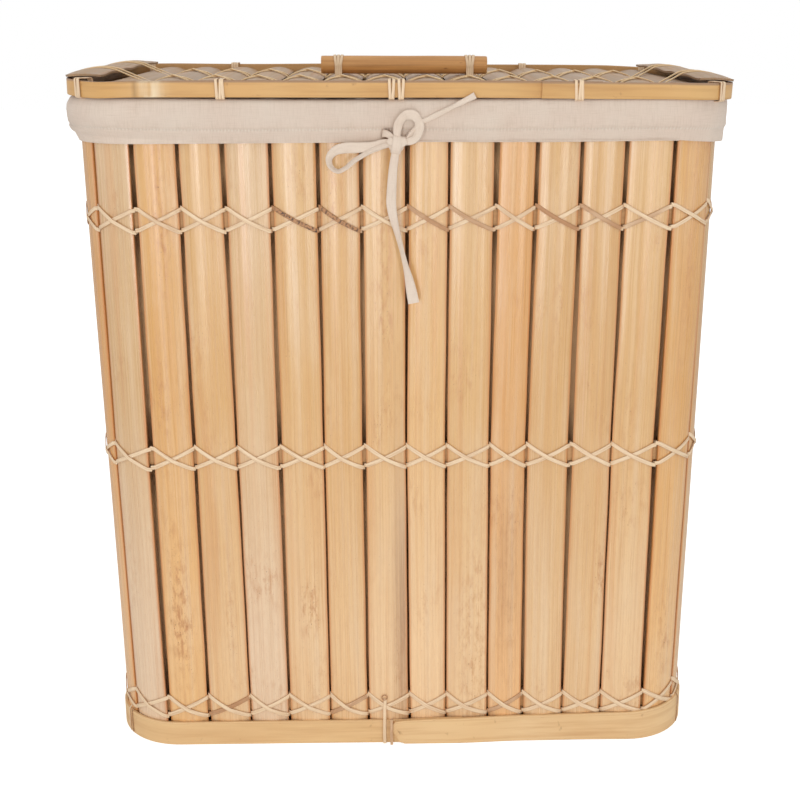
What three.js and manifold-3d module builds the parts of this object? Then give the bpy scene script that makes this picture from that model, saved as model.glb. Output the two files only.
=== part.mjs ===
// A laundry hamper with two bins: a tapering bamboo basket, a cotton liner sewn into two bags and folded
// over the rim, and a lift-off bamboo lid. Millimetres, +Z up, the front faces -Y, and the origin lies in
// the middle of the footprint, on the surface that the hamper stands on.

import * as THREE from 'three';
import { mergeVertices } from 'three/addons/utils/BufferGeometryUtils.js';
import Module from 'manifold-3d';

const wasm = await Module();
wasm.setup();

// Clearances

const clearance = 0.3; // between pieces that touch
const bond = 0.3; // how far a piece sinks into the hoop that it is fused with
const slack = 0.35; // between cloth or strand and what it lies against
const weld = 1e-4; // points that lie closer than this are one

// The basket's wall, measured over the crowns of its strips

const rimHeight = 582.2;
const wallTopLength = 541;
const wallTopDepth = 334;
const wallBaseLength = 524;
const wallBaseDepth = 320;
const wallCornerRadius = 57;

// Split bamboo strips, a shallow arc in section with the skin outside

const stripWidth = 33.8;
const stripThickness = 3;
const stripRise = 3;
const wallStripCount = 44;
const frontStripCount = 14;
const stripShift = 5; // the gap next to the middle of the front lies this far to the right of it
// How far the gaps across the front, from left to right, lie from even spacing, as shares of the pitch.
const gapShiftShares = [
  -0.04, -0.08, -0.08, -0.06, -0.03, 0.02, -0.02, 0, -0.06, -0.01, -0.11, -0.09, -0.1, -0.05, 0.03,
];
const skinFacets = 4;
const backFacets = 2;

// Hoops

const hoopThickness = 4;
const rowHoopHeight = 14;
const hoopCornerRadius = 46; // of the face that the strips lie on
const rimHoopHeight = 16;
const rimBandThickness = 3.3;
const baseBandHeight = 23;
const baseBandThickness = 3.3;
const floorHoopTop = 18;
const floorLift = 0.4; // the floor strips' crowns above the standing surface
const cornerSteps = 8;

// Lashings: two crossed rattan strands to a row

const lowerRowHeight = 37;
const upperRowDrop = 96.2; // below the rim
const middleRowShare = 0.536; // of the way from the lower row to the upper
const upperRowHeight = rimHeight - upperRowDrop;
const rowHeights = {
  lower: lowerRowHeight,
  middle: THREE.MathUtils.lerp(lowerRowHeight, upperRowHeight, middleRowShare),
  upper: upperRowHeight,
};
const strandWidth = 2.4;
const strandThickness = 0.8;
const strandLift = 0.7; // under the strand, at a strip's crown
const strandShoulder = 2; // how far the strand stands out from the strips' edges in a gap

// Ties of flat rattan

const tieThickness = 1.2;
const bandTieWidth = 7;
const baseTieWidth = 3;
const baseTieShift = -13;

// The liner

const clothThickness = 1.2;
const bagThickness = 1.5;
const cuffDrop = 35;
const cuffHem = 16; // the part of the drop below the rim band
const cuffBulge = 1.6;
const skirtDrop = 12; // of the cuff's inner side

// The lid

const lidSideOverhang = 9.5; // beyond the wall's rim
const lidFrontOverhang = 8; // at the back as well
const lidCornerRadius = 61;
const lidBandHeight = 14.3;
const lidBandThickness = 5;
const lidHoopHeight = 5.6;
const lidHoopThickness = 6;
const lidStripCount = 14;
const lidStripPitch = 37.1;
const lidRowOffset = 62;
const lidBarWidth = 14;
const lidBarThickness = 4.5;
const sideStripGap = 3.6; // to the corner ties
const sideStripTilt = THREE.MathUtils.degToRad(2);
const lidFrontTies = { front_left_tie: -145, front_middle_tie: -4, front_right_tie: 143 };
const lidBackTies = { back_left_tie: -170, back_right_tie: 131 };

// The handle

const rodDiameter = 16.3;
const rodLength = 153;
const rodShift = 4.6;
const rodTieSpacing = 121;
const rodTieWidth = 8;
const rodChamfer = 0.8;
const rodSides = 16;

// The drawstring tape

const tapeWidth = 8;
const tapeThickness = 1.2;
const shortTailWidth = 5; // drawn together where it frays
const tapeStep = 9;
const knotSize = { length: 13, depth: 8, height: 12 };

// Materials

const finishes = {
  bamboo: { color: 0xe3bd85, roughness: 0.5 },
  band: { color: 0xdcae69, roughness: 0.55 },
  rod: { color: 0xb98a52, roughness: 0.5 },
  rattan: { color: 0xe6cf9f, roughness: 0.65 },
  cotton: { color: 0xe6d7c3, roughness: 0.95 },
};

const upright = new THREE.Vector3(0, 0, 1);
const model = new THREE.Group();
model.name = 'laundry_hamper';

// Adds a named piece to the model.
function add(name, geometry, finish) {
  const material = new THREE.MeshStandardMaterial({ ...finishes[finish], metalness: 0 });
  const mesh = new THREE.Mesh(geometry, material);
  mesh.name = name;
  model.add(mesh);
}

// General solids

// A geometry of points and triangles, turned so that its faces point out.
function closedGeometry(points, triangles) {
  let volume = 0;
  for (const [a, b, c] of triangles) {
    volume += points[a].dot(points[b].clone().cross(points[c]));
  }
  const order = volume > 0 ? triangles : triangles.map(([a, b, c]) => [a, c, b]);
  const geometry = new THREE.BufferGeometry();
  geometry.setAttribute('position', new THREE.Float32BufferAttribute(points.flatMap((p) => p.toArray()), 3));
  geometry.setIndex(order.flat());
  return geometry;
}

// Joins rings of points into one solid: open ones are capped, closed ones run back into their first ring,
// and turn says by how many points the last ring is turned against the first.
function loft(rings, { closed = false, turn = 0 } = {}) {
  const size = rings[0].length;
  const triangles = [];
  const joints = closed ? rings.length : rings.length - 1;
  for (let i = 0; i < joints; i += 1) {
    const last = closed && i === joints - 1;
    const from = i * size;
    const to = last ? 0 : from + size;
    for (let j = 0; j < size; j += 1) {
      const k = (j + 1) % size;
      const a = last ? (j + turn) % size : j;
      const b = last ? (k + turn) % size : k;
      triangles.push([from + j, from + k, to + b], [from + j, to + b, to + a]);
    }
  }
  if (!closed) {
    const end = (rings.length - 1) * size;
    for (const [a, b, c] of capTriangles(rings[0])) {
      triangles.push([a, c, b], [a + end, b + end, c + end]);
    }
  }
  return closedGeometry(rings.flat(), triangles);
}

// Triangles that close a flat ring of points.
function capTriangles(ring) {
  const across = ring[1].clone().sub(ring[0]).normalize();
  const normal = new THREE.Vector3();
  for (let i = 0; i < ring.length; i += 1) {
    normal.add(ring[i].clone().cross(ring[(i + 1) % ring.length]));
  }
  const up = normal.normalize().clone().cross(across);
  const flat = ring.map((p) => new THREE.Vector2(p.dot(across), p.dot(up)));
  return THREE.ShapeUtils.triangulateShape(flat, []);
}

// The geometry with only its positions, each point shared by the faces that meet there.
function welded(geometry) {
  const bare = geometry.clone();
  bare.deleteAttribute('normal');
  bare.deleteAttribute('uv');
  return mergeVertices(bare, weld);
}

function toSolid(geometry) {
  const merged = welded(geometry);
  return new wasm.Manifold(new wasm.Mesh({
    numProp: 3,
    vertProperties: new Float32Array(merged.attributes.position.array),
    triVerts: new Uint32Array(merged.index.array),
  }));
}

function toGeometry(solid) {
  const mesh = solid.getMesh();
  const geometry = new THREE.BufferGeometry();
  geometry.setAttribute('position', new THREE.BufferAttribute(new Float32Array(mesh.vertProperties), 3));
  geometry.setIndex(new THREE.BufferAttribute(new Uint32Array(mesh.triVerts), 1));
  return geometry;
}

// Outlines: rectangles with round corners, in plan

// The wall's outline at a height, over the strips' crowns.
function wallOutline(z) {
  const share = z / rimHeight;
  return {
    x: THREE.MathUtils.lerp(wallBaseLength, wallTopLength, share) / 2,
    y: THREE.MathUtils.lerp(wallBaseDepth, wallTopDepth, share) / 2,
    r: wallCornerRadius,
  };
}

const lidOutline = {
  x: wallTopLength / 2 + lidSideOverhang,
  y: wallTopDepth / 2 + lidFrontOverhang,
  r: lidCornerRadius,
};

function grown(outline, by) {
  return { x: outline.x + by, y: outline.y + by, r: outline.r + by };
}

// How far a point lies outside an outline, negative inside.
function outside(outline, p) {
  const qx = Math.abs(p.x) - outline.x + outline.r;
  const qy = Math.abs(p.y) - outline.y + outline.r;
  const corner = Math.hypot(Math.max(qx, 0), Math.max(qy, 0));
  return corner + Math.min(Math.max(qx, qy), 0) - outline.r;
}

// The corner points of an outline, anticlockwise from the right-hand end of its right rear corner.
function outlinePoints(outline, z) {
  const points = [];
  for (let corner = 0; corner < 4; corner += 1) {
    const cx = (corner === 0 || corner === 3 ? 1 : -1) * (outline.x - outline.r);
    const cy = (corner < 2 ? 1 : -1) * (outline.y - outline.r);
    for (let step = 0; step <= cornerSteps; step += 1) {
      const angle = (corner + step / cornerSteps) * Math.PI / 2;
      points.push(new THREE.Vector3(cx + outline.r * Math.cos(angle), cy + outline.r * Math.sin(angle), z));
    }
  }
  return points;
}

// A ring round the plan: each entry of the profile gives an outline and a height.
function hoop(profile) {
  const loops = profile.map(({ outline, z }) => outlinePoints(outline, z));
  const rings = loops[0].map((_, i) => loops.map((points) => points[i]));
  return loft(rings, { closed: true });
}

// A plain band between two heights, from one offset to another of an outline given by height.
function band(outlineAt, inner, outer, bottom, top) {
  return hoop([
    { outline: grown(outlineAt(bottom), outer), z: bottom },
    { outline: grown(outlineAt(top), outer), z: top },
    { outline: grown(outlineAt(top), inner), z: top },
    { outline: grown(outlineAt(bottom), inner), z: bottom },
  ]);
}

// A flat-ended prism over an outline.
function prism(outline, bottom, top) {
  return loft([outlinePoints(outline, bottom), outlinePoints(outline, top)]);
}

// A place on an outline: its point, the way along it and the way out. The share runs anticlockwise from
// the middle of the front.
function placeOn(outline, share, z) {
  const halfX = outline.x - outline.r;
  const halfY = outline.y - outline.r;
  const arc = outline.r * Math.PI / 2;
  const runs = [halfX, arc, 2 * halfY, arc, 2 * halfX, arc, 2 * halfY, arc, halfX];
  const around = runs.reduce((sum, run) => sum + run, 0);
  let left = (share - Math.floor(share)) * around;
  let run = 0;
  while (run < runs.length - 1 && left > runs[run]) {
    left -= runs[run];
    run += 1;
  }
  const quarter = Math.floor((run + 1) / 2) % 4;
  const turned = run % 2 === 1 ? left / outline.r : 0;
  const angle = (run % 2 === 1 ? (run - 1) / 2 : quarter) * Math.PI / 2 + turned;
  const along = new THREE.Vector3(Math.cos(angle), Math.sin(angle), 0);
  const out = new THREE.Vector3(Math.sin(angle), -Math.cos(angle), 0);
  const point = new THREE.Vector3(0, 0, z);
  if (run % 2 === 1) {
    const sx = run === 1 || run === 3 ? 1 : -1;
    const sy = run === 1 || run === 7 ? -1 : 1;
    point.set(sx * halfX, sy * halfY, z).addScaledVector(out, outline.r);
  } else {
    const start = run === 0 ? 0 : -(run === 2 || run === 6 ? halfY : halfX);
    const reach = run === 2 || run === 6 ? outline.x : outline.y;
    point.addScaledVector(out, reach).addScaledVector(along, start + left);
  }
  return { point, along, out };
}

// Finds where a falling measure reaches a value, between 0 and far.
function solve(measure, value, far) {
  let low = 0;
  let high = far;
  for (let i = 0; i < 40; i += 1) {
    const middle = (low + high) / 2;
    if (measure(middle) > value) {
      low = middle;
    } else {
      high = middle;
    }
  }
  return low;
}

// Bamboo strips

// The cane that the strips are split from, and the angle that half a strip takes of it.
const caneRadius = (stripWidth * stripWidth / 4 + stripRise * stripRise) / (2 * stripRise);
const halfAngle = Math.asin(stripWidth / 2 / caneRadius);
const stripDepth = caneRadius - (caneRadius - stripThickness) * Math.cos(halfAngle);

// A strip's section, as [across, out] from its crown: the skin from left to right, then the back.
function stripSection(skinCount, backCount) {
  const arcPoint = (share, radius) => {
    const angle = share * halfAngle;
    return [radius * Math.sin(angle), radius * Math.cos(angle) - caneRadius];
  };
  const points = [];
  for (let i = 0; i <= skinCount; i += 1) {
    points.push(arcPoint(2 * i / skinCount - 1, caneRadius));
  }
  for (let i = backCount; i >= 0; i -= 1) {
    points.push(arcPoint(2 * i / backCount - 1, caneRadius - stripThickness));
  }
  return points;
}

const wallSection = stripSection(skinFacets, backFacets);
const floorSection = stripSection(backFacets, backFacets);

// A strip's section set at a place whose point is its crown.
function stripRing({ point, along, out, widthShare = 1 }, section = wallSection) {
  return section.map(([across, up]) => (
    point.clone().addScaledVector(along, across * widthShare).addScaledVector(out, up)));
}

// How far the strips' backs, at their edges, lie inside the wall's outline.
const hoopInset = stripDepth + clearance;

// The outline of the face of the inner hoops that the strips lie on.
function hoopFace(z) {
  const wall = wallOutline(z);
  return { x: wall.x - hoopInset, y: wall.y - hoopInset, r: hoopCornerRadius };
}

const wallBottom = floorLift + stripDepth + clearance;
const frontStart = -frontStripCount / 2;

function lengthAround(outline) {
  return 4 * (outline.x + outline.y) - (8 - 2 * Math.PI) * outline.r;
}

// The strips are spaced along the line of their edges, so that the gaps stay even round the corners.
function stripPlace(index, z) {
  const line = grown(wallOutline(z), -stripRise);
  const shifted = stripShift / lengthAround(grown(wallOutline(rimHeight), -stripRise));
  const place = placeOn(line, index / wallStripCount + shifted, z);
  place.point.addScaledVector(place.out, stripRise);
  return place;
}

// Where a gap lies, in pitches from the one next to the middle of the front.
function gapIndex(index) {
  return index + (gapShiftShares[(index - frontStart) % wallStripCount] ?? 0);
}

const rimPitch = lengthAround(grown(wallOutline(rimHeight), -stripRise)) / wallStripCount;

// Seats a wall strip on the inner hoops at a height: from the outline it moves in until it touches them.
function seatedStrip(index, z) {
  const left = gapIndex(index);
  const right = gapIndex(index + 1);
  const place = stripPlace((left + right) / 2, z);
  place.widthShare = 1 + (right - left - 1) * rimPitch / stripWidth;
  const face = hoopFace(z);
  const start = place.point.clone().addScaledVector(place.out, stripWidth / 4);
  const nearest = (shift) => {
    const moved = { ...place, point: start.clone().addScaledVector(place.out, -shift) };
    const ring = stripRing(moved).slice(skinFacets + 1);
    const middles = ring.slice(1).map((p, i) => p.clone().add(ring[i]).multiplyScalar(1 / 2));
    return Math.min(...[...ring, ...middles].map((p) => outside(face, p)));
  };
  place.point = start.addScaledVector(place.out, -solve(nearest, clearance, stripWidth));
  return place;
}

const strips = [];
for (let i = 0; i < wallStripCount; i += 1) {
  strips.push([wallBottom, rimHeight].map((z) => seatedStrip(frontStart + i, z)));
}

// A wall strip's place at a height, between its two ends.
function stripAt(i, z) {
  const [low, high] = strips[(i + wallStripCount) % wallStripCount];
  const share = (z - wallBottom) / (rimHeight - wallBottom);
  return {
    widthShare: low.widthShare,
    point: low.point.clone().lerp(high.point, share),
    along: low.along.clone().lerp(high.along, share).normalize(),
    out: low.out.clone().lerp(high.out, share).normalize(),
  };
}

for (let i = 0; i < frontStripCount; i += 1) {
  const number = String(i + 1).padStart(2, '0');
  add(`front_strip_${number}`, loft(strips[i].map((place) => stripRing(place))), 'bamboo');
}

// Inner hoops. The rim's carries the side and back strips, so its face reaches out to them there.

const linerInset = hoopInset + hoopThickness + 2 * slack + strandWidth;

function innerHoop(bottom, top, thickness, reach = 0) {
  return band(hoopFace, -thickness, reach, bottom, top);
}

const rimHoopBottom = rimHeight - rimHoopHeight;
const rimHoopThickness = linerInset - hoopInset - slack;

function rimHoop() {
  const frontEnds = [frontStart, -frontStart].map((index) => stripPlace(gapIndex(index), rimHeight).point.y);
  const reaching = toSolid(innerHoop(rimHoopBottom, rimHeight, hoopThickness, clearance + bond));
  const behind = toSolid(new THREE.BoxGeometry(2 * wallTopLength, wallTopDepth, rimHeight * 2))
    .translate([0, wallTopDepth / 2 + Math.max(...frontEnds) + stripThickness, 0]);
  let rim = toSolid(innerHoop(rimHoopBottom, rimHeight, rimHoopThickness)).add(reaching.intersect(behind));
  for (const ends of strips.slice(frontStripCount)) {
    rim = rim.add(toSolid(loft(ends.map((place) => stripRing(place)))));
  }
  return toGeometry(rim);
}

add('rim_inner_hoop_with_side_strips', rimHoop(), 'bamboo');

for (const [row, height] of Object.entries(rowHeights)) {
  add(`${row}_inner_hoop`, innerHoop(height - rowHoopHeight / 2, height + rowHoopHeight / 2, hoopThickness),
    'bamboo');
}

// Outer bands

const bandGap = clearance;
const rimBandFace = bandGap + rimBandThickness;
const baseBandFace = bandGap + baseBandThickness;
add('rim_outer_band', band(wallOutline, bandGap, rimBandFace, rimHoopBottom, rimHeight), 'band');
add('base_outer_band', band(wallOutline, bandGap, baseBandFace, 0, baseBandHeight), 'band');

// The floor: strips from front to back, skin down, under the hoop that carries them

function floorPanel() {
  const edge = floorLift + stripDepth;
  let floor = toSolid(innerHoop(edge - bond, floorHoopTop, hoopThickness));
  const reach = wallOutline(0);
  const trim = toSolid(prism(reach, -edge, 2 * edge));
  const pitch = lengthAround(grown(reach, -stripRise)) / wallStripCount;
  const count = 2 * Math.floor(reach.x / pitch);
  for (let i = 0; i < count; i += 1) {
    const x = (i + 1 / 2 - count / 2) * pitch;
    const ends = [-reach.y, reach.y].map((y) => stripRing({
      point: new THREE.Vector3(x, y, floorLift),
      along: new THREE.Vector3(1, 0, 0),
      out: new THREE.Vector3(0, 0, -1),
    }, floorSection));
    floor = floor.add(toSolid(loft(ends)).intersect(trim));
  }
  return toGeometry(floor);
}

add('floor_panel', floorPanel(), 'bamboo');

// Lashings

// A rattan strand that crosses the crowns of a row of strips, goes in through each gap, round the hoop or
// bar behind it, and out again. upward is 1 for the strand that climbs over each strip and -1 for the one
// that falls. A crown is a place; a gap also holds the depth of the strand's middle behind the hoop. reach
// is half the width of the hoop or bar. A row that isn't closed has places for its strands' ends as well.
function strandRings({ crowns, gaps, across, reach, starts = [], stops = [] }, upward) {
  const a = strandWidth / 2;
  const b = strandThickness / 2;
  const level = reach + slack + a + (upward > 0 ? 0 : strandWidth + slack);
  const beside = (b + slack / 2) * -upward;
  const lift = strandLift + b + (upward > 0 ? 0 : strandThickness + slack);
  const up = across.clone().multiplyScalar(upward);
  const ring = (centre, wide, thick, sign) => [[a, -b], [-a, -b], [0, b]].map(([w, h]) => centre.clone()
    .addScaledVector(wide, sign * w).addScaledVector(thick, sign * h));
  const endRing = ({ point, out }, side, sign) => (
    ring(point.clone().addScaledVector(up, side * level), up, out, sign));
  const rings = starts.map((place) => endRing(place, 1, -1));
  gaps.forEach((gap, k) => {
    const sign = k % 2 === 0 ? 1 : -1;
    const mouth = (side) => gap.point.clone().addScaledVector(gap.out, strandShoulder)
      .addScaledVector(up, side * level);
    const inside = (side) => gap.point.clone().addScaledVector(gap.out, -gap.depth)
      .addScaledVector(gap.along, beside).addScaledVector(up, side * level);
    rings.push(ring(mouth(1), up, gap.out.clone().add(gap.along), -sign));
    rings.push(ring(inside(1), up.clone().sub(gap.out), gap.along, -sign));
    rings.push(ring(inside(-1), up.clone().negate().sub(gap.out), gap.along, -sign));
    rings.push(ring(mouth(-1), up, gap.out.clone().sub(gap.along), sign));
    const crown = crowns[k];
    if (crown) {
      const slope = crown.along.clone().multiplyScalar(crown.half).addScaledVector(up, level).normalize();
      const wide = crown.out.clone().cross(slope).multiplyScalar(upward);
      rings.push(ring(crown.point.clone().addScaledVector(crown.out, lift), wide, crown.out, sign));
    }
  });
  const lastSign = gaps.length % 2 === 0 ? -1 : 1;
  return [...rings, ...stops.map((place) => endRing(place, -1, lastSign))];
}

function wallRow(z) {
  const crowns = [];
  const gaps = [];
  for (let i = 0; i < wallStripCount; i += 1) {
    const before = stripAt(i - 1, z);
    const after = stripAt(i, z);
    const leftEdge = stripRing(before)[skinFacets];
    const rightEdge = stripRing(after)[0];
    const out = before.out.clone().add(after.out).normalize();
    const point = leftEdge.clone().add(rightEdge).multiplyScalar(1 / 2);
    point.addScaledVector(out, Math.abs(leftEdge.clone().sub(rightEdge).dot(out)) / 2);
    const along = before.along.clone().add(after.along).normalize();
    const behind = grown(hoopFace(z), -hoopThickness);
    const measure = (depth) => outside(behind, point.clone().addScaledVector(out, -depth));
    const depth = solve(measure, -slack - strandWidth / 2, wallCornerRadius);
    gaps.push({ point, out, along, depth });
    crowns.push({ ...after, half: after.widthShare * stripWidth / 2 });
  }
  return { crowns, gaps, across: upright, reach: rowHoopHeight / 2 };
}

for (const [row, height] of Object.entries(rowHeights)) {
  const lashings = wallRow(height);
  for (const [way, upward] of [['rising', 1], ['falling', -1]]) {
    add(`${row}_${way}_strand`, loft(strandRings(lashings, upward), { closed: true }), 'rattan');
  }
}

// Ties at the middle of the base, front and back: each hangs from a lashing's crossing and runs down over
// the base band

function baseTie(side) {
  const top = rowHeights.lower - rowHoopHeight / 2;
  const wallFace = (z) => wallOutline(z).y + strandLift;
  const bandFace = (z) => wallOutline(z).y + baseBandFace + clearance;
  const shelf = baseBandHeight + clearance;
  const inner = [
    [wallFace(top), top],
    [wallFace(shelf), shelf],
    [bandFace(shelf), shelf],
    [bandFace(0), clearance],
  ];
  const outer = [
    [bandFace(0) + tieThickness, clearance],
    [bandFace(shelf) + tieThickness, shelf + tieThickness],
    [wallFace(shelf) + tieThickness, shelf + 2 * tieThickness],
    [wallFace(top) + tieThickness, top],
  ];
  const rings = [-baseTieWidth, baseTieWidth].map((width) => [...inner, ...outer].map(([out, z]) => (
    new THREE.Vector3(side * (baseTieShift + width / 2), side * -out, z))));
  return loft(rings);
}

add('base_front_tie', baseTie(1), 'rattan');
add('base_back_tie', baseTie(-1), 'rattan');

// The liner: two bags side by side, and the cuff folded over the rim

const cuffTop = rimHeight + clearance + clothThickness;
const skirtBottom = cuffTop - skirtDrop;

// Half of the plan inside the wall, from the middle seam's front end round to its rear end.
function bagPoints(z, side, inset) {
  const outline = grown(wallOutline(z), -linerInset - inset);
  const seam = clearance / 2 + inset;
  const points = [new THREE.Vector3(side * seam, -outline.y, z)];
  for (const sign of [-1, 1]) {
    for (let step = 0; step <= cornerSteps; step += 1) {
      const angle = (sign < 0 ? step : cornerSteps - step) / cornerSteps * Math.PI / 2;
      points.push(new THREE.Vector3(
        side * (outline.x - outline.r + outline.r * Math.sin(angle)),
        sign * (outline.y - outline.r + outline.r * Math.cos(angle)),
        z,
      ));
    }
  }
  points.push(new THREE.Vector3(side * seam, outline.y, z));
  return points;
}

function bag(side) {
  const bottom = floorLift + stripDepth + clearance;
  const top = skirtBottom - clearance;
  return loft([
    bagPoints(bottom, side, 0),
    bagPoints(top, side, 0),
    bagPoints(top, side, bagThickness),
    bagPoints(bottom + bagThickness, side, bagThickness),
  ]);
}

add('liner_left_bag', bag(-1), 'cotton');
add('liner_right_bag', bag(1), 'cotton');

// The cuff's section, as [offset from the wall's outline, height], round the fold from its inner edge.
function cuffProfile() {
  const face = rimBandFace + slack;
  const hem = cuffTop - cuffDrop;
  const bulge = face + cuffBulge;
  return [
    [-linerInset, skirtBottom],
    [-linerInset, rimHeight + clearance],
    [face, rimHeight + clearance],
    [bulge, hem + cuffHem],
    [face, hem],
    [face + clothThickness, hem],
    [bulge + clothThickness, hem + cuffHem],
    [bulge + clothThickness, cuffTop - cuffHem / 4],
    [face + clothThickness, cuffTop],
    [-linerInset - clothThickness, cuffTop],
    [-linerInset - clothThickness, skirtBottom],
  ].map(([offset, z]) => ({ outline: grown(wallOutline(rimHeight), offset), z }));
}

add('liner_cuff', hoop(cuffProfile()), 'cotton');

// The lid

const lidBottom = cuffTop + 2 * clearance + tieThickness;
const lidBandTop = lidBottom + lidBandHeight;
const lidAt = () => lidOutline;
const lidHoopInset = lidBandThickness + clearance;

add('lid_outer_band', band(lidAt, -lidBandThickness, 0, lidBottom, lidBandTop), 'band');

// A lid strip runs from front to back, skin up, with its middle at an x and its crown at a height.
const lidCrown = lidBottom + lidHoopHeight - bond + stripDepth;

function lidStripRing(x, z, y) {
  return stripRing({
    point: new THREE.Vector3(x, y, z),
    along: new THREE.Vector3(1, 0, 0),
    out: upright,
  });
}

const lidGapAt = (index) => stripShift + index * lidStripPitch;

// A closed loop of flat rattan round the lid's edge. Its shape lies in the plane that runs out through the
// edge; grow widens it all round, for the slots that it passes through.
function bandTieShape(grow) {
  const outer = clearance + tieThickness + grow;
  const inner = clearance - grow;
  const deep = lidHoopInset + lidHoopThickness;
  const shape = new THREE.Shape([
    new THREE.Vector2(-deep - outer, lidBottom - outer),
    new THREE.Vector2(outer, lidBottom - outer),
    new THREE.Vector2(outer, lidBandTop + outer),
    new THREE.Vector2(-deep - outer, lidBandTop + outer),
  ]);
  shape.holes.push(new THREE.Path([
    new THREE.Vector2(-deep - inner, lidBottom - inner),
    new THREE.Vector2(-deep - inner, lidBandTop + inner),
    new THREE.Vector2(inner, lidBandTop + inner),
    new THREE.Vector2(inner, lidBottom - inner),
  ]));
  return shape;
}

// A shape's x runs out from a place on the edge, its y is the height, and its thickness lies along the edge.
function setAcross(shape, thickness, { point, along, out }) {
  const geometry = new THREE.ExtrudeGeometry(shape, { depth: thickness, bevelEnabled: false });
  geometry.translate(0, 0, -thickness / 2);
  const turn = new THREE.Matrix4().makeBasis(out, upright, along.clone().negate());
  geometry.applyMatrix4(turn);
  geometry.translate(point.x, point.y, 0);
  return welded(geometry);
}

function lidEdge(x, side) {
  return {
    point: new THREE.Vector3(x, side * lidOutline.y, 0),
    along: new THREE.Vector3(-side, 0, 0),
    out: new THREE.Vector3(0, side, 0),
  };
}

function lidCorner(sx, sy) {
  const out = new THREE.Vector3(sx, sy, 0).normalize();
  const point = new THREE.Vector3(sx * (lidOutline.x - lidOutline.r), sy * (lidOutline.y - lidOutline.r), 0)
    .addScaledVector(out, lidOutline.r);
  return { point, out, along: new THREE.Vector3(-out.y, out.x, 0) };
}

const edgeTies = {
  ...Object.fromEntries(Object.entries(lidFrontTies).map(([name, x]) => [name, lidEdge(x, -1)])),
  ...Object.fromEntries(Object.entries(lidBackTies).map(([name, x]) => [name, lidEdge(x, 1)])),
  corner_front_left_tie: lidCorner(-1, -1),
  corner_front_right_tie: lidCorner(1, -1),
  corner_back_left_tie: lidCorner(-1, 1),
  corner_back_right_tie: lidCorner(1, 1),
};

// The handle: a rod that lies across the crowns, bound to two strips

const rodRadius = rodDiameter / 2;
const rodHeight = lidCrown + clearance + rodRadius;
const rodTiePlaces = { left: rodShift - rodTieSpacing / 2, right: rodShift + rodTieSpacing / 2 };

function rodTieShape(grow) {
  const outer = rodRadius + clearance + tieThickness + grow;
  const inner = rodRadius + clearance - grow;
  const foot = lidCrown - stripDepth - clearance;
  const shape = new THREE.Shape();
  shape.moveTo(-outer, foot - tieThickness - grow);
  shape.lineTo(outer, foot - tieThickness - grow);
  shape.absarc(0, rodHeight, outer, 0, Math.PI, false);
  const hole = new THREE.Path();
  hole.moveTo(inner, foot + grow);
  hole.lineTo(-inner, foot + grow);
  hole.absarc(0, rodHeight, inner, Math.PI, 0, true);
  shape.holes.push(hole);
  return shape;
}

function rodTie(x, grow) {
  const geometry = new THREE.ExtrudeGeometry(rodTieShape(grow), {
    depth: rodTieWidth + 2 * grow, bevelEnabled: false, curveSegments: rodSides / 2,
  });
  geometry.translate(0, 0, -rodTieWidth / 2 - grow);
  const along = new THREE.Vector3(1, 0, 0);
  geometry.applyMatrix4(new THREE.Matrix4().makeBasis(new THREE.Vector3(0, 1, 0), upright, along));
  geometry.translate(x, 0, 0);
  return welded(geometry);
}

// The lid's strips, fused with the hoop that carries them, with slots where ties pass through.
function lidPanel() {
  const hoopOutline = grown(lidOutline, -lidHoopInset);
  let panel = toSolid(band(() => hoopOutline, -lidHoopThickness, 0, lidBottom, lidBottom + lidHoopHeight));
  const trim = toSolid(prism(hoopOutline, lidBottom, lidBandTop));
  for (let i = 0; i < lidStripCount; i += 1) {
    const x = lidGapAt(i - lidStripCount / 2 + 1 / 2);
    const ends = [-lidOutline.y, lidOutline.y].map((y) => lidStripRing(x, lidCrown, y));
    panel = panel.add(toSolid(loft(ends)).intersect(trim));
  }
  for (const place of Object.values(edgeTies)) {
    panel = panel.subtract(toSolid(setAcross(bandTieShape(clearance), bandTieWidth + 2 * clearance, place)));
  }
  for (const x of Object.values(rodTiePlaces)) {
    panel = panel.subtract(toSolid(rodTie(x, clearance)));
  }
  return toGeometry(panel);
}

add('lid_inner_hoop_with_strips', lidPanel(), 'bamboo');
for (const [name, place] of Object.entries(edgeTies)) {
  add(`lid_${name}`, setAcross(bandTieShape(0), bandTieWidth, place), 'rattan');
}

// Two bars under the strips, which the lid's lashings go round

const barTop = lidCrown - stripDepth - clearance;
const barReach = lidOutline.x - lidHoopInset - lidHoopThickness - clearance;
for (const [name, side] of [['front', -1], ['back', 1]]) {
  const bar = new THREE.BoxGeometry(2 * barReach, lidBarWidth, lidBarThickness);
  bar.translate(0, side * lidRowOffset, barTop - lidBarThickness / 2);
  add(`lid_${name}_bar`, bar, 'bamboo');
}

// A strip on top of the band at each side, its inner edge tilted down

// The side strip's section, from its outer edge over the skin and back under it.
function sideStripRing(side, y) {
  const outerEdge = new THREE.Vector3(side * lidOutline.x, 0, lidBandTop + clearance);
  const tilt = new THREE.Quaternion().setFromAxisAngle(new THREE.Vector3(0, 1, 0), -side * sideStripTilt);
  return stripRing({
    point: new THREE.Vector3(-side * stripWidth / 2, y, stripDepth).applyQuaternion(tilt).add(outerEdge),
    along: new THREE.Vector3(-side, 0, 0).applyQuaternion(tilt),
    out: new THREE.Vector3(0, 0, 1).applyQuaternion(tilt),
  });
}

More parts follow.
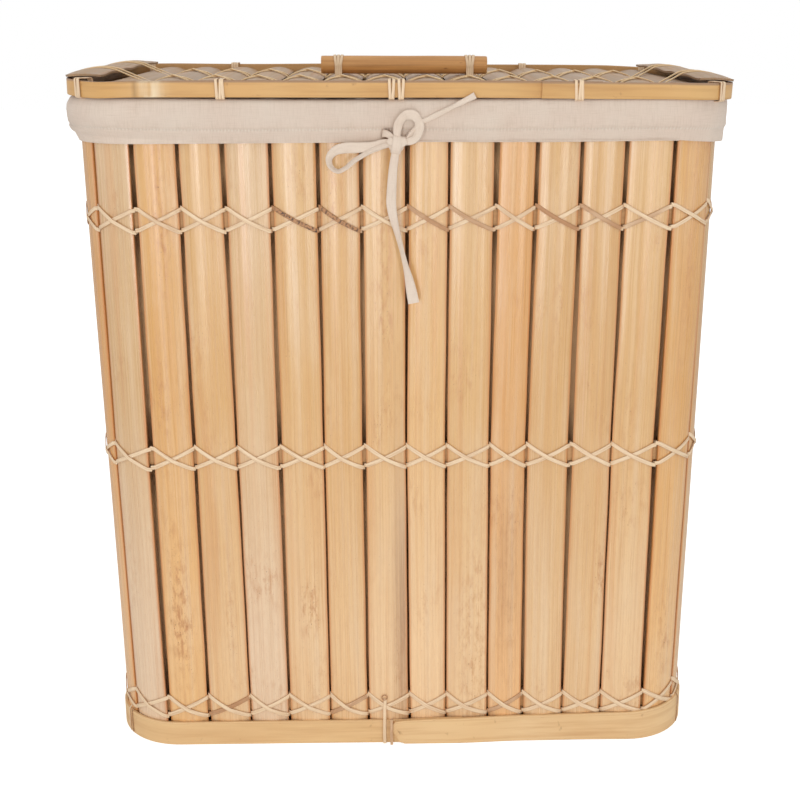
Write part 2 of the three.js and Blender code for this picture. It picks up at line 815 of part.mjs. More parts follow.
function sideStrip(side) {
  const tieDepth = lidHoopInset + lidHoopThickness + clearance + tieThickness;
  const tieReach = (lidOutline.r - tieDepth - bandTieWidth / 2) * Math.SQRT1_2;
  const reach = lidOutline.y - lidOutline.r + tieReach - sideStripGap;
  const ends = [-reach, reach].map((y) => sideStripRing(side, y));
  const trim = toSolid(prism(lidOutline, lidBottom, lidBandTop + lidBandHeight));
  return toGeometry(toSolid(loft(ends)).intersect(trim));
}

add('lid_left_side_strip', sideStrip(-1), 'bamboo');
add('lid_right_side_strip', sideStrip(1), 'bamboo');

// The lid's lashings. Each strand ends over a side strip, down the outer band and under it.

// The places of a strand's end over a side of the lid, from under the band to the strip's inner edge.
function strandEnd(side, y) {
  const skin = sideStripRing(side, y);
  const away = slack + strandThickness / 2;
  const at = (x, z, outX, outZ) => ({
    point: new THREE.Vector3(side * x, y, z),
    out: new THREE.Vector3(side * outX, 0, outZ).normalize(),
  });
  const crown = skin[skinFacets / 2];
  const inner = skin[skinFacets];
  return [
    at(lidOutline.x - lidBandThickness, lidBottom - away, 0, -1),
    at(lidOutline.x + away, lidBottom - away, 1, -1),
    at(lidOutline.x + away, skin[0].z + strandShoulder, 1, 1),
    at(side * crown.x, crown.z + strandLift + strandThickness / 2, 0, 1),
    at(side * inner.x, inner.z + strandShoulder, -1, 2),
  ];
}

function lidRow(side) {
  const along = new THREE.Vector3(1, 0, 0);
  const y = side * lidRowOffset;
  const edge = lidCrown - stripRise;
  const depth = edge - (barTop - lidBarThickness) + slack + strandWidth / 2;
  const gaps = [];
  const crowns = [];
  for (let i = 1 - lidStripCount / 2; i < lidStripCount / 2; i += 1) {
    gaps.push({ point: new THREE.Vector3(lidGapAt(i), y, edge), along, out: upright, depth });
    const point = new THREE.Vector3(lidGapAt(i + 1 / 2), y, lidCrown);
    crowns.push({ point, along, out: upright, half: stripWidth / 2 });
  }
  return {
    gaps,
    crowns: crowns.slice(0, -1),
    across: new THREE.Vector3(0, 1, 0),
    reach: lidBarWidth / 2,
    starts: strandEnd(-1, y),
    stops: strandEnd(1, y).reverse(),
  };
}

for (const [name, side] of [['front', -1], ['back', 1]]) {
  for (const [way, upward] of [['rising', 1], ['falling', -1]]) {
    add(`lid_${name}_${way}_strand`, loft(strandRings(lidRow(side), upward)), 'rattan');
  }
}

// The handle's rod and its ties

function rod() {
  const profile = [
    [0, -rodLength / 2],
    [rodRadius - rodChamfer, -rodLength / 2],
    [rodRadius, -rodLength / 2 + rodChamfer],
    [rodRadius, rodLength / 2 - rodChamfer],
    [rodRadius - rodChamfer, rodLength / 2],
    [0, rodLength / 2],
  ].map(([radius, along]) => new THREE.Vector2(radius, along));
  const geometry = new THREE.LatheGeometry(profile, rodSides);
  geometry.rotateZ(-Math.PI / 2);
  geometry.translate(rodShift, 0, rodHeight);
  return geometry;
}

add('handle_rod', rod(), 'rod');
for (const [name, x] of Object.entries(rodTiePlaces)) {
  add(`handle_${name}_tie`, rodTie(x, 0), 'rattan');
}

// The drawstring: a flat tape that comes out of the cuff in front and is tied there in a bow. The routes
// start at the knot.

const knotPlace = { x: -2.8, z: 548 };
const knotBack = wallTopDepth / 2 + rimBandFace + 2 * slack + clothThickness + cuffBulge / 3;
const backLayer = knotBack + tapeThickness;
const frontLayer = backLayer + tapeThickness * 2;

const knotShares = [
  [1, 1 / 2], [1 / 2, 1], [-1 / 2, 1], [-1, 1 / 2], [-1, -1 / 2], [-1 / 2, -1], [1 / 2, -1], [1, -1 / 2],
];

function knot() {
  const ring = (share, y) => knotShares.map(([x, z]) => new THREE.Vector3(
    knotPlace.x + x * share * knotSize.length / 2,
    -y,
    knotPlace.z + z * share * knotSize.height / 2,
  ));
  const shoulder = knotBack + knotSize.depth * 2 / 3;
  return loft([ring(1, knotBack), ring(1, shoulder), ring(2 / 3, knotBack + knotSize.depth)]);
}

function tape(route, width) {
  const x = tapeThickness / 2;
  const y = width / 2;
  const shape = new THREE.Shape([
    [x, y - x], [x / 2, y], [-x / 2, y], [-x, y - x], [-x, x - y], [-x / 2, -y], [x / 2, -y], [x, x - y],
  ].map(([across, along]) => new THREE.Vector2(across, along)));
  const path = new THREE.CatmullRomCurve3(route.map(([px, py, pz]) => new THREE.Vector3(px, -py, pz)));
  const steps = Math.round(path.getLength() / tapeStep);
  return welded(new THREE.ExtrudeGeometry(shape, { steps, extrudePath: path }));
}

const tapeRoutes = {
  left_loop: [
    [-10.1, backLayer, 550], [-15.2, backLayer, 549.4], [-22, backLayer, 547], [-33.7, backLayer, 545.7],
    [-46, backLayer, 545.3], [-53, backLayer, 543], [-57.2, backLayer, 537.5], [-56, backLayer, 530.7],
    [-51, 175, 527.2], [-44.8, 176, 529.5], [-36.1, frontLayer, 536.4], [-23.8, frontLayer, 543.2],
    [-15, frontLayer, 546.2], [-10, frontLayer, 546.5],
  ],
  ring_loop: [
    [-0.7, frontLayer, 554.6], [-1, frontLayer, 559.5], [0.8, frontLayer, 566.8], [6.8, frontLayer, 570.2],
    [13, frontLayer, 567.6], [15.4, frontLayer, 561.5], [12.6, frontLayer, 555.2], [8.6, frontLayer, 552],
    [4.3, frontLayer, 551.5],
  ],
  long_tail: [
    [-3.6, frontLayer, 541.1], [-4.2, frontLayer, 536], [-5.3, 174.6, 525.8], [-6.4, 172.5, 503.5],
    [-4, 172, 491.2], [0.9, 171.9, 476.4], [4.6, 171.9, 457.9], [8.3, 171.9, 439.4], [11.4, 171.9, 419.6],
  ],
  short_tail: [
    [6.1, backLayer, 551.6], [10, backLayer, 557.4], [17, 174.9, 565.2], [26.8, 175.2, 570.2],
    [41.7, 176.3, 577.6], [50, 177, 581.7], [60.2, 177.4, 586.8],
  ],
};

add('tape_knot', knot(), 'cotton');
for (const [name, route] of Object.entries(tapeRoutes)) {
  add(`tape_${name}`, tape(route, name === 'short_tail' ? shortTailWidth : tapeWidth), 'cotton');
}

export default model;
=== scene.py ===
"""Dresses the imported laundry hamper: split-bamboo basket, cotton liner with its drawstring, and lid.

Sizes are in metres. +Z is up, the front faces -Y, and the origin lies in the middle of the footprint.
"""

from __future__ import annotations

import logging
import math
from dataclasses import dataclass, field
from enum import Enum
from typing import Any, Callable, Sequence

import bmesh
import bpy
import numpy as np
from mathutils import Matrix, Vector

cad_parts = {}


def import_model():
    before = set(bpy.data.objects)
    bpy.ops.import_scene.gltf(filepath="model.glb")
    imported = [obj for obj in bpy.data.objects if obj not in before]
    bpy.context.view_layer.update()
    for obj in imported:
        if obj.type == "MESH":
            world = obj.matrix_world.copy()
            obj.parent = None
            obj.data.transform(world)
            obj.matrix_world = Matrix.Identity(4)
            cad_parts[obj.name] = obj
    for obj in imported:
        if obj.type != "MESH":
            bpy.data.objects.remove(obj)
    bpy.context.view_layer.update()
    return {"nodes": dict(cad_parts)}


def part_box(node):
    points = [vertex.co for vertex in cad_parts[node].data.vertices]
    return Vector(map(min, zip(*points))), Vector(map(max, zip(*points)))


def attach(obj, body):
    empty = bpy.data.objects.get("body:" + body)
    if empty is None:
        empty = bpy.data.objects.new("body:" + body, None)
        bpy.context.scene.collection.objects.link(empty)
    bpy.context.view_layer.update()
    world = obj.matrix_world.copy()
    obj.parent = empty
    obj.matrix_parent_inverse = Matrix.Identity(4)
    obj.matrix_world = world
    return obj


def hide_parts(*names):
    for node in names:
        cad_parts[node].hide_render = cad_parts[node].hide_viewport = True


Array = np.ndarray
Amount = Array | float
Object = bpy.types.Object
Material = bpy.types.Material
Socket = bpy.types.NodeSocket
Rgb = tuple[float, float, float]
Vec = tuple[float, float, float]
Skin = Callable[[float], tuple[Array, Array]]

LOG = logging.getLogger("hamper")
UP = np.array((0.0, 0.0, 1.0))
MM = 0.001
TURN = 2 * math.pi
MERGE = 2e-6


# Small geometry


def unit(vectors: Array) -> Array:
    """Scales one vector, or rows of them, to length 1."""
    return vectors / np.maximum(np.linalg.norm(vectors, axis=-1, keepdims=True), 1e-12)


def ramp(value: Amount, start: float, length: float) -> Amount:
    """Rises from 0 at the start to 1 at the end of a length, and stays there."""
    return np.clip((value - start) / length, 0, 1)


def eased(value: Amount) -> Amount:
    """Rises from 0 to 1 with a soft start and end."""
    return 0.5 - 0.5 * np.cos(np.clip(value, 0, 1) * math.pi)


def bump(value: Amount, middle: float, half: float, power: int = 2) -> Amount:
    """Draws a round bump that is 1 high at its middle, steeper with a higher power."""
    return np.exp(-(((value - middle) / half) ** power))


def walk(path: Array) -> Array:
    """Measures how far along a path each of its points lies."""
    return np.concatenate(([0.0], np.cumsum(np.linalg.norm(np.diff(path, axis=0), axis=1))))


def linear(red: int, green: int, blue: int) -> Rgb:
    """Turns a colour as a screen shows it, from 0 to 255, into the renderer's own values."""
    shares = (channel / 255 for channel in (red, green, blue))
    return tuple(s / 12.92 if s <= 0.04045 else ((s + 0.055) / 1.055) ** 2.4 for s in shares)


def through(points: Sequence[Vec] | Array, step: float, closed: bool = False) -> Array:
    """Draws a smooth curve through points.

    Args:
        points: The points, in order.
        step: About how far apart the curve's own points lie.
        closed: Whether the curve runs back into its first point.

    Returns:
        Evenly spaced points on the curve; a closed one doesn't repeat its first.
    """
    knots = np.asarray(points, float)
    if closed:
        knots = np.vstack((knots[-1], knots, knots[:2]))
    else:
        knots = np.vstack((2 * knots[0] - knots[1], knots, 2 * knots[-1] - knots[-2]))
    fine = []
    for before, start, end, after in zip(knots, knots[1:], knots[2:], knots[3:]):
        gaps = [max(float(np.linalg.norm(b - a)) ** 0.5, 1e-6)
                for a, b in ((before, start), (start, end), (end, after))]
        leave = (start - before) / gaps[0] - (end - before) / (gaps[0] + gaps[1]) + (end - start) / gaps[1]
        arrive = (end - start) / gaps[1] - (after - start) / (gaps[1] + gaps[2]) + (after - end) / gaps[2]
        t = np.linspace(0, 1, 24, endpoint=False)[:, None]
        fine.append((2 * t**3 - 3 * t**2 + 1) * start + (t**3 - 2 * t**2 + t) * leave * gaps[1]
                    + (3 * t**2 - 2 * t**3) * end + (t**3 - t**2) * arrive * gaps[1])
    line = np.vstack((*fine, knots[-2]))
    walked = walk(line)
    marks = np.linspace(0, walked[-1], max(3, round(walked[-1] / step)) + 1)
    even = np.column_stack([np.interp(marks, walked, line[:, axis]) for axis in range(3)])
    return even[:-1] if closed else even


@dataclass(frozen=True)
class Waves:
    """A smooth uneven surface made of a few waves, the same on every run."""

    seed: int
    lengths: tuple[float, float]
    count: int

    def at(self, across: Array, along: Array) -> Array:
        """Measures the surface.

        Args:
            across: Places in the first direction.
            along: Places in the second direction.

        Returns:
            Heights from about -1 to 1.
        """
        rng = np.random.default_rng(self.seed)
        total = np.zeros(np.broadcast(across, along).shape)
        for _ in range(self.count):
            turn, phase = rng.uniform(0, TURN, 2)
            reach = rng.uniform(0.6, 1.6)
            way = across * math.cos(turn) / self.lengths[0] + along * math.sin(turn) / self.lengths[1]
            total = total + np.cos(TURN * way * reach + phase)
        return total / math.sqrt(2 * self.count)


@dataclass(frozen=True)
class Place:
    """A point on the work with the way along it, the way out of it and the width of what lies there."""

    point: Array
    along: Array
    out: Array
    width: float = 0.0


@dataclass(frozen=True)
class Outline:
    """A rectangle with round corners, in plan: half its length, half its depth and its corners' radius."""

    x: float
    y: float
    r: float

    def grown(self, by: float) -> Outline:
        """Returns the outline moved outwards all round."""
        return Outline(self.x + by, self.y + by, self.r + by)

    def around(self) -> float:
        """Returns the length of the outline."""
        return 4 * (self.x + self.y) - (8 - TURN) * self.r

    def place(self, share: float, z: float) -> Place:
        """Finds a place on the outline.

        Args:
            share: How far round, anticlockwise from the middle of the front, as a share of the whole.
            z: The height.

        Returns:
            The place, with the way out level.
        """
        half_x, half_y, arc = self.x - self.r, self.y - self.r, self.r * math.pi / 2
        runs = (half_x, arc, 2 * half_y, arc, 2 * half_x, arc, 2 * half_y, arc, half_x)
        left = (share % 1.0) * sum(runs)
        run = 0
        while run < 8 and left > runs[run]:
            left -= runs[run]
            run += 1
        if run % 2:
            angle = (run - 1) / 2 * math.pi / 2 + left / self.r
        else:
            angle = (run + 1) // 2 % 4 * math.pi / 2
        along = np.array((math.cos(angle), math.sin(angle), 0.0))
        out = np.array((math.sin(angle), -math.cos(angle), 0.0))
        if run % 2:
            corner = np.array((half_x if run in (1, 3) else -half_x, -half_y if run in (1, 7) else half_y, z))
            return Place(corner + out * self.r, along, out)
        start = 0.0 if run == 0 else -(half_y if run in (2, 6) else half_x)
        reach = self.x if run in (2, 6) else self.y
        return Place(out * reach + along * (start + left) + UP * z, along, out)

    def outside(self, points: Array) -> Array:
        """Measures how far points lie outside the outline.

        Args:
            points: The points.

        Returns:
            How far each lies outside, negative inside.
        """
        qx = np.abs(points[..., 0]) - self.x + self.r
        qy = np.abs(points[..., 1]) - self.y + self.r
        return np.hypot(np.maximum(qx, 0), np.maximum(qy, 0)) + np.minimum(np.maximum(qx, qy), 0) - self.r

    def reach_y(self, x: Array) -> Array:
        """Measures how far the outline reaches to the front or back at an x."""
        deep = np.clip(np.abs(x) - self.x + self.r, 0, self.r)
        return self.y - self.r + np.sqrt(np.maximum(self.r**2 - deep**2, 0))


# The bench: Blender's own modelling tools


def take(piece: Object) -> None:
    """Selects one piece alone and makes it active.

    Args:
        piece: The piece.
    """
    bpy.ops.object.select_all(action="DESELECT")
    piece.select_set(True)
    bpy.context.view_layer.objects.active = piece


def smooth(piece: Object, degrees: float = 40.0) -> Object:
    """Shades a piece smooth.

    Args:
        piece: The piece.
        degrees: Edges sharper than this stay sharp.

    Returns:
        The piece.
    """
    take(piece)
    bpy.ops.object.shade_smooth_by_angle(angle=math.radians(degrees))
    return piece


def thicken(piece: Object, thickness: float) -> None:
    """Gives a sheet its thickness, behind the face that it has.

    Args:
        piece: The sheet.
        thickness: Its thickness.
    """
    take(piece)
    modifier = piece.modifiers.new("Solidify", "SOLIDIFY")
    modifier.thickness, modifier.offset = thickness, -1.0
    bpy.ops.object.modifier_apply(modifier=modifier.name)


def joined(name: str, pieces: Sequence[Object]) -> Object:
    """Joins pieces into the first of them and names it.

    Args:
        name: The new name.
        pieces: The pieces.

    Returns:
        The one piece.
    """
    take(pieces[0])
    for piece in pieces[1:]:
        piece.select_set(True)
    bpy.ops.object.join()
    pieces[0].name = pieces[0].data.name = name
    return pieces[0]


def read(items: Any, key: str, size: int = 1, kind: type = float) -> Array:
    """Reads a value of all points or corners of a mesh.

    Args:
        items: The points or corners.
        key: What is read.
        size: How many numbers each has.
        kind: The numbers' type.

    Returns:
        The numbers, a row for each where there are several.
    """
    values = np.empty(len(items) * size, kind)
    items.foreach_get(key, values)
    return values.reshape(-1, size) if size > 1 else values


def paint(piece: Object, label: str, values: Array) -> None:
    """Keeps a value or colour with each point of a piece.

    Args:
        piece: The piece.
        label: What the value is called.
        values: One number, or one colour of three, for each point.
    """
    if values.ndim == 1:
        piece.data.attributes.new(label, "FLOAT", "POINT").data.foreach_set("value", values)
        return
    whole = np.column_stack((values, np.ones(len(values))))
    piece.data.attributes.new(label, "FLOAT_COLOR", "POINT").data.foreach_set("color", whole.ravel())


def lay_metres(mesh: bpy.types.Mesh, across: Array, along: Array) -> None:
    """Lays out a UV map in metres.

    Args:
        mesh: The piece's mesh.
        across: How far across the piece each point lies.
        along: How far along it each point lies.
    """
    layer = mesh.uv_layers[0] if mesh.uv_layers else mesh.uv_layers.new()
    layer.name = "metres"
    corner = read(mesh.loops, "vertex_index", kind=int)
    layer.data.foreach_set("uv", np.column_stack((across[corner], along[corner])).ravel())


def bent_grid(name: str, points: Array, walked: tuple[Array, Array], fill: bool = False,
              **paints: Amount) -> Object:
    """Adds a flat grid, bends it to its shape and merges its edges where they meet.

    Args:
        name: The piece's name.
        points: The places of its points, as [row, column, xyz].
        walked: How far along the piece each row lies, and how far across it each column lies.
        fill: Whether open ends are closed.
        **paints: Values to keep with the points, spread over rows and columns. A tint is a colour.

    Returns:
        The piece, with its faces turned outwards.
    """
    rows, columns = points.shape[:2]
    bpy.ops.object.select_all(action="DESELECT")
    bpy.ops.mesh.primitive_grid_add(x_subdivisions=rows - 1, y_subdivisions=columns - 1, size=1)
    piece = bpy.context.active_object
    mesh = piece.data
    piece.name = mesh.name = name
    flat = read(mesh.vertices, "co", 3)
    row = np.rint((flat[:, 0] + 0.5) * (rows - 1)).astype(int)
    column = np.rint((flat[:, 1] + 0.5) * (columns - 1)).astype(int)
    mesh.vertices.foreach_set("co", points[row, column].ravel())
    lay_metres(mesh, walked[1][column], walked[0][row])
    for label, values in paints.items():
        shape = (rows, columns, 3) if label == "tint" else (rows, columns)
        paint(piece, label, np.broadcast_to(values, shape)[row, column])
    mesh.update()
    take(piece)
    bpy.ops.object.mode_set(mode="EDIT")
    bpy.ops.mesh.select_all(action="SELECT")
    bpy.ops.mesh.remove_doubles(threshold=MERGE)
    if fill:
        bpy.ops.mesh.fill_holes(sides=0)
    bpy.ops.mesh.select_all(action="SELECT")
    bpy.ops.mesh.normals_make_consistent(inside=False)
    bpy.ops.object.mode_set(mode="OBJECT")
    return piece


def strand(name: str, path: Array, face: Array | Vec, width: Amount, thickness: Amount, closed: bool = False,
           roll: Amount = 0.0, sides: int = 8, flat: float = 0.6, **paints: Amount) -> Object:
    """Makes a flat strand or tape along a path.

    Args:
        name: The piece's name.
        path: The points that its middle follows.
        face: Which way its flat face looks, for the whole of it or at each point.
        width: Its width.
        thickness: Its thickness.
        closed: Whether it runs back into its start.
        roll: By how many degrees it is turned about its path, for the whole of it or at each point.
        sides: How many points its section has.
        flat: 1 for an oval section, less for flatter faces.
        **paints: Values to keep with the points along it.

    Returns:
        The piece, shaded smooth.
    """
    count = len(path)
    if closed:
        travel = unit(np.roll(path, -1, axis=0) - np.roll(path, 1, axis=0))
    else:
        travel = unit(np.gradient(path, axis=0))
    look = np.broadcast_to(np.asarray(face, float), path.shape)
    thick = unit(look - travel * np.sum(look * travel, axis=1, keepdims=True))
    wide = np.cross(travel, thick)
    turn = np.radians(np.broadcast_to(roll, count))[:, None]
    thick, wide = thick * np.cos(turn) + wide * np.sin(turn), wide * np.cos(turn) - thick * np.sin(turn)
    angles = np.linspace(0, TURN, sides + 1) + math.pi / sides
    across, deep = (
        np.multiply.outer(np.broadcast_to(size, count), np.sign(wave) * np.abs(wave) ** flat / 2)
        for size, wave in ((width, np.cos(angles)), (thickness, np.sin(angles))))
    points = path[:, None] + across[..., None] * wide[:, None] + deep[..., None] * thick[:, None]
    walked = walk(path)
    spread = {label: np.broadcast_to(np.reshape(values, (-1, 1)), across.shape)
              for label, values in paints.items()}
    spread["edge"] = np.abs(across / np.max(np.abs(across), axis=1, keepdims=True))
    if closed:
        points = np.concatenate((points, points[:1]))
        walked = np.append(walked, walked[-1] + np.linalg.norm(path[0] - path[-1]))
        spread = {label: np.concatenate((values, values[:1])) for label, values in spread.items()}
    rim = np.linspace(0, 2, sides + 1) * float(np.mean(width))
    return smooth(bent_grid(name, points, (walked, rim), fill=not closed, **spread), 60)


def flat_hoop(outline: Outline, thickness: float, bottom: float, top: float, turns: int = 240) -> Object:
    """Makes a flat hoop right round the plan, with round edges.

    Args:
        outline: The plan of its outer face.
        thickness: Its thickness.
        bottom: Its lower edge's height.
        top: Its upper edge's height.
        turns: How many points it has round the plan.

    Returns:
        The hoop.
    """
    middle = outline.grown(-thickness / 2)
    places = [middle.place(i / turns, (bottom + top) / 2) for i in range(turns)]
    path, faces = (np.array([getattr(place, part) for place in places]) for part in ("point", "out"))
    return strand("hoop", path, faces, top - bottom, thickness, closed=True, sides=16, flat=0.18)


# Finishes


class Graph:
    """The nodes of a material or of the surround, put together one by one."""

    def __init__(self, owner: Material | bpy.types.World) -> None:
        """Empties the owner's nodes.

        Args:
            owner: The material or the surround.
        """
        owner.use_nodes = True
        self.owner, self.tree = owner, owner.node_tree
        self.tree.nodes.clear()

    def feed(self, socket: Socket, value: Any) -> None:
        """Links a socket to another, or sets its value.

        Args:
            socket: The socket that takes the value.
            value: Another node's output, a number, a vector or a colour.
        """
        if isinstance(value, bpy.types.NodeSocket):
            self.tree.links.new(value, socket)
        elif socket.type == "RGBA" and len(value) == 3:
            socket.default_value = (*value, 1.0)
        else:
            socket.default_value = value

    def add(self, kind: str, inputs: dict[str | int, Any], output: str | int = 0, **settings: Any) -> Socket:
        """Adds a node.

        Args:
            kind: The node's type, without its prefix.
            inputs: What its inputs get, by name or number.
            output: Which of its outputs is returned.
            **settings: The node's own settings.

        Returns:
            The chosen output.
        """
        node = self.tree.nodes.new(f"ShaderNode{kind}")
        for name, value in settings.items():
            setattr(node, name, value)
        for key, value in inputs.items():
            self.feed(node.inputs[key], value)
        return node.outputs[output]

    def metres(self, across: float, along: float, offset: Vec = (0.0, 0.0, 0.0)) -> Socket:
        """Reads the piece's own UV map in metres, stretched.

        Args:
            across: How many pattern units a metre across the piece has.
            along: How many a metre along it has.
            offset: Where the pattern starts.

        Returns:
            The stretched place.
        """
        source = self.add("UVMap", {}, uv_map="metres")
        return self.add("Mapping", {"Vector": source, "Scale": (across, along, 1.0), "Location": offset})

    def object_space(self, scale: Vec) -> Socket:
        """Reads a place in the row frame, stretched by a scale for each axis."""
        source = self.add("TexCoord", {}, "Object")
        return self.add("Mapping", {"Vector": source, "Scale": scale})

    def noise(self, vector: Socket, detail: float = 3.0, rough: float = 0.5) -> Socket:
        """Adds an uneven grey pattern and returns its value."""
        return self.add("TexNoise", {"Vector": vector, "Scale": 1.0, "Detail": detail, "Roughness": rough})

    def between(self, value: Socket, low: float, high: float, to_low: float = 0.0,
                to_high: float = 1.0) -> Socket:
        """Maps a range of a value onto another range, held at its ends."""
        return self.add("MapRange", {"Value": value, "From Min": low, "From Max": high,
                                     "To Min": to_low, "To Max": to_high})

    def sum(self, operation: str, first: Any, second: Any = 0.0) -> Socket:
        """Works out a sum of one or two numbers and returns its result."""
        return self.add("Math", {0: first, 1: second}, operation=operation)

    def times(self, first: Any, second: Any) -> Socket:
        """Multiplies two numbers and returns the product."""
        return self.sum("MULTIPLY", first, second)

    def mix(self, share: Any, first: Any, second: Any, how: str = "MIX") -> Socket:
        """Mixes a share of the second colour into the first, with a blend, and returns the mix."""
        return self.add("Mix", {0: share, 6: first, 7: second}, 2, data_type="RGBA", blend_type=how)

    def kept(self, label: str, colour: bool = False) -> Socket:
        """Reads a value or a colour that a piece keeps with its points."""
        return self.add("Attribute", {}, "Color" if colour else "Fac", attribute_name=label)

    def end(self, kind: str, surface: Socket) -> None:
        """Links a shader to the output of a material or world."""
        self.feed(self.tree.nodes.new(f"ShaderNodeOutput{kind}").inputs["Surface"], surface)

    def done(self, colour: Any, roughness: Any, height: Socket | None = None, depth: float = 0.0,
             **more: Any) -> Material:
        """Joins the parts of the finish to a shader, and ends the material with it.

        Args:
            colour: The base colour.
            roughness: The roughness.
            height: The relief, if any.
            depth: How deep the relief is.
            **more: What the shader's other inputs get, by their names with low lines for spaces.

        Returns:
            The material.
        """
        inputs = {"Base Color": colour, "Roughness": roughness}
        if height is not None:
            inputs["Normal"] = self.add("Bump", {"Height": height, "Strength": 1.0, "Distance": depth})
        inputs |= {name.replace("_", " "): value for name, value in more.items()}
        self.end("Material", self.add("BsdfPrincipled", inputs))
        return self.owner


class Tint(Enum):
    """The bamboo's ground colours, from strip to strip."""

    PALE = linear(223, 189, 150)
    LIGHT = linear(229, 188, 136)
    YELLOW = linear(232, 191, 140)
    TAN = linear(230, 179, 115)
    OLIVE = linear(223, 180, 126)
    ORANGE = linear(228, 175, 115)


@dataclass(frozen=True)
class BambooSkin:
    """The smooth skin of split bamboo: lengthwise fibres, clouds, freckles and brown smears."""

    name: str = "bamboo_skin"
    shadow: Rgb = linear(182, 126, 74)
    bleach: Rgb = linear(236, 208, 172)
    warm: Rgb = linear(216, 150, 84)
    freckle: Rgb = linear(146, 92, 52)
    smear: Rgb = linear(190, 126, 72)
    dusk: Rgb = linear(172, 132, 98)
    inside: Rgb = linear(204, 124, 54)
    roughness: float = 0.26
    shine: float = 1.0

    def material(self) -> Material:
        """Builds the finish.

        Returns:
            The material.
        """
        g = Graph(bpy.data.materials.new(self.name))
        fibres = g.noise(g.metres(1700, 7), 4, 0.65)
        grain = g.noise(g.metres(520, 4), 3, 0.6)
        broad = g.noise(g.metres(110, 2.5, (6.0, 3.0, 0.0)), 2)
        clouds = g.noise(g.metres(45, 7), 3)
        colour = g.mix(g.between(broad, 0.5, 0.7, 0.0, 0.4), g.kept("tint", colour=True), self.bleach)
        colour = g.mix(g.between(broad, 0.46, 0.3, 0.0, 0.3), colour, self.warm)
        colour = g.mix(g.between(grain, 0.42, 0.75, 0.0, 0.3), colour, self.shadow)
        colour = g.mix(g.between(fibres, 0.52, 0.78, 0.0, 0.42), colour, self.shadow)
        colour = g.mix(g.between(fibres, 0.46, 0.24, 0.0, 0.35), colour, self.bleach)
        colour = g.mix(g.between(clouds, 0.5, 0.75, 0.0, 0.3), colour, self.bleach)
        mottle = g.noise(g.metres(260, 75, (1.3, 4.1, 0.0)), 4, 0.65)
        patches = g.between(g.noise(g.metres(26, 11, (3.1, 1.7, 0.0)), 2), 0.56, 0.7, 0.0, 0.35)
        level = g.sum("ADD", g.kept("smear"), patches)
        stains = g.times(level, g.between(mottle, 0.46, 0.66))
        colour = g.mix(g.sum("MINIMUM", stains, 0.8), colour, self.smear)
        spots = g.between(g.noise(g.metres(800, 520, (0.7, 2.9, 0.0)), 2), 0.66, 0.72)
        colour = g.mix(g.times(spots, g.between(level, 0.0, 0.6, 0.12, 0.9)), colour, self.freckle)
        dusky = g.times(g.kept("dusk"), g.between(grain, 0.3, 0.7, 0.5, 1.0))
        colour = g.mix(dusky, colour, self.dusk)
        # Cut faces and edges take the inside colour; the lid's darker inside paints shade on its strips'
        # undersides.
        colour = g.mix(g.between(g.kept("wear"), 0.86, 1.0, 0.0, 0.85), colour, self.inside)
        gloss = g.noise(g.metres(330, 3, (5.0, 0.0, 0.0)), 2)
        roughness = g.between(gloss, 0.3, 0.7, self.roughness - 0.05, self.roughness + 0.1)
        relief = g.sum("ADD", g.noise(g.metres(120, 2, (2.0, 0.0, 0.0)), 1), g.times(fibres, 0.1))
        return g.done(colour, roughness, relief, 0.0007, Specular_IOR_Level=self.shine)


@dataclass(frozen=True)
class PlainBamboo:
    """Bamboo of the hidden hoops, bars and floor, patterned by place, with its fibres along one axis."""

    name: str
    ground: Rgb = linear(214, 168, 112)
    shadow: Rgb = linear(176, 124, 74)
    light: Rgb = linear(226, 190, 140)
    stretch: Vec = (14.0, 14.0, 420.0)
    roughness: float = 0.5

    def material(self) -> Material:
        """Builds the finish.

        Returns:
            The material.
        """
        g = Graph(bpy.data.materials.new(self.name))
        fibres = g.noise(g.object_space(self.stretch), 5, 0.6)
        clouds = g.noise(g.object_space((30.0, 30.0, 30.0)), 2)
        colour = g.mix(g.between(fibres, 0.35, 0.75, 0.0, 0.6), self.ground, self.shadow)
        colour = g.mix(g.between(clouds, 0.4, 0.7, 0.0, 0.25), colour, self.light)
        roughness = g.between(clouds, 0.3, 0.7, self.roughness, self.roughness + 0.1)
        return g.done(colour, roughness, fibres, 0.0003)


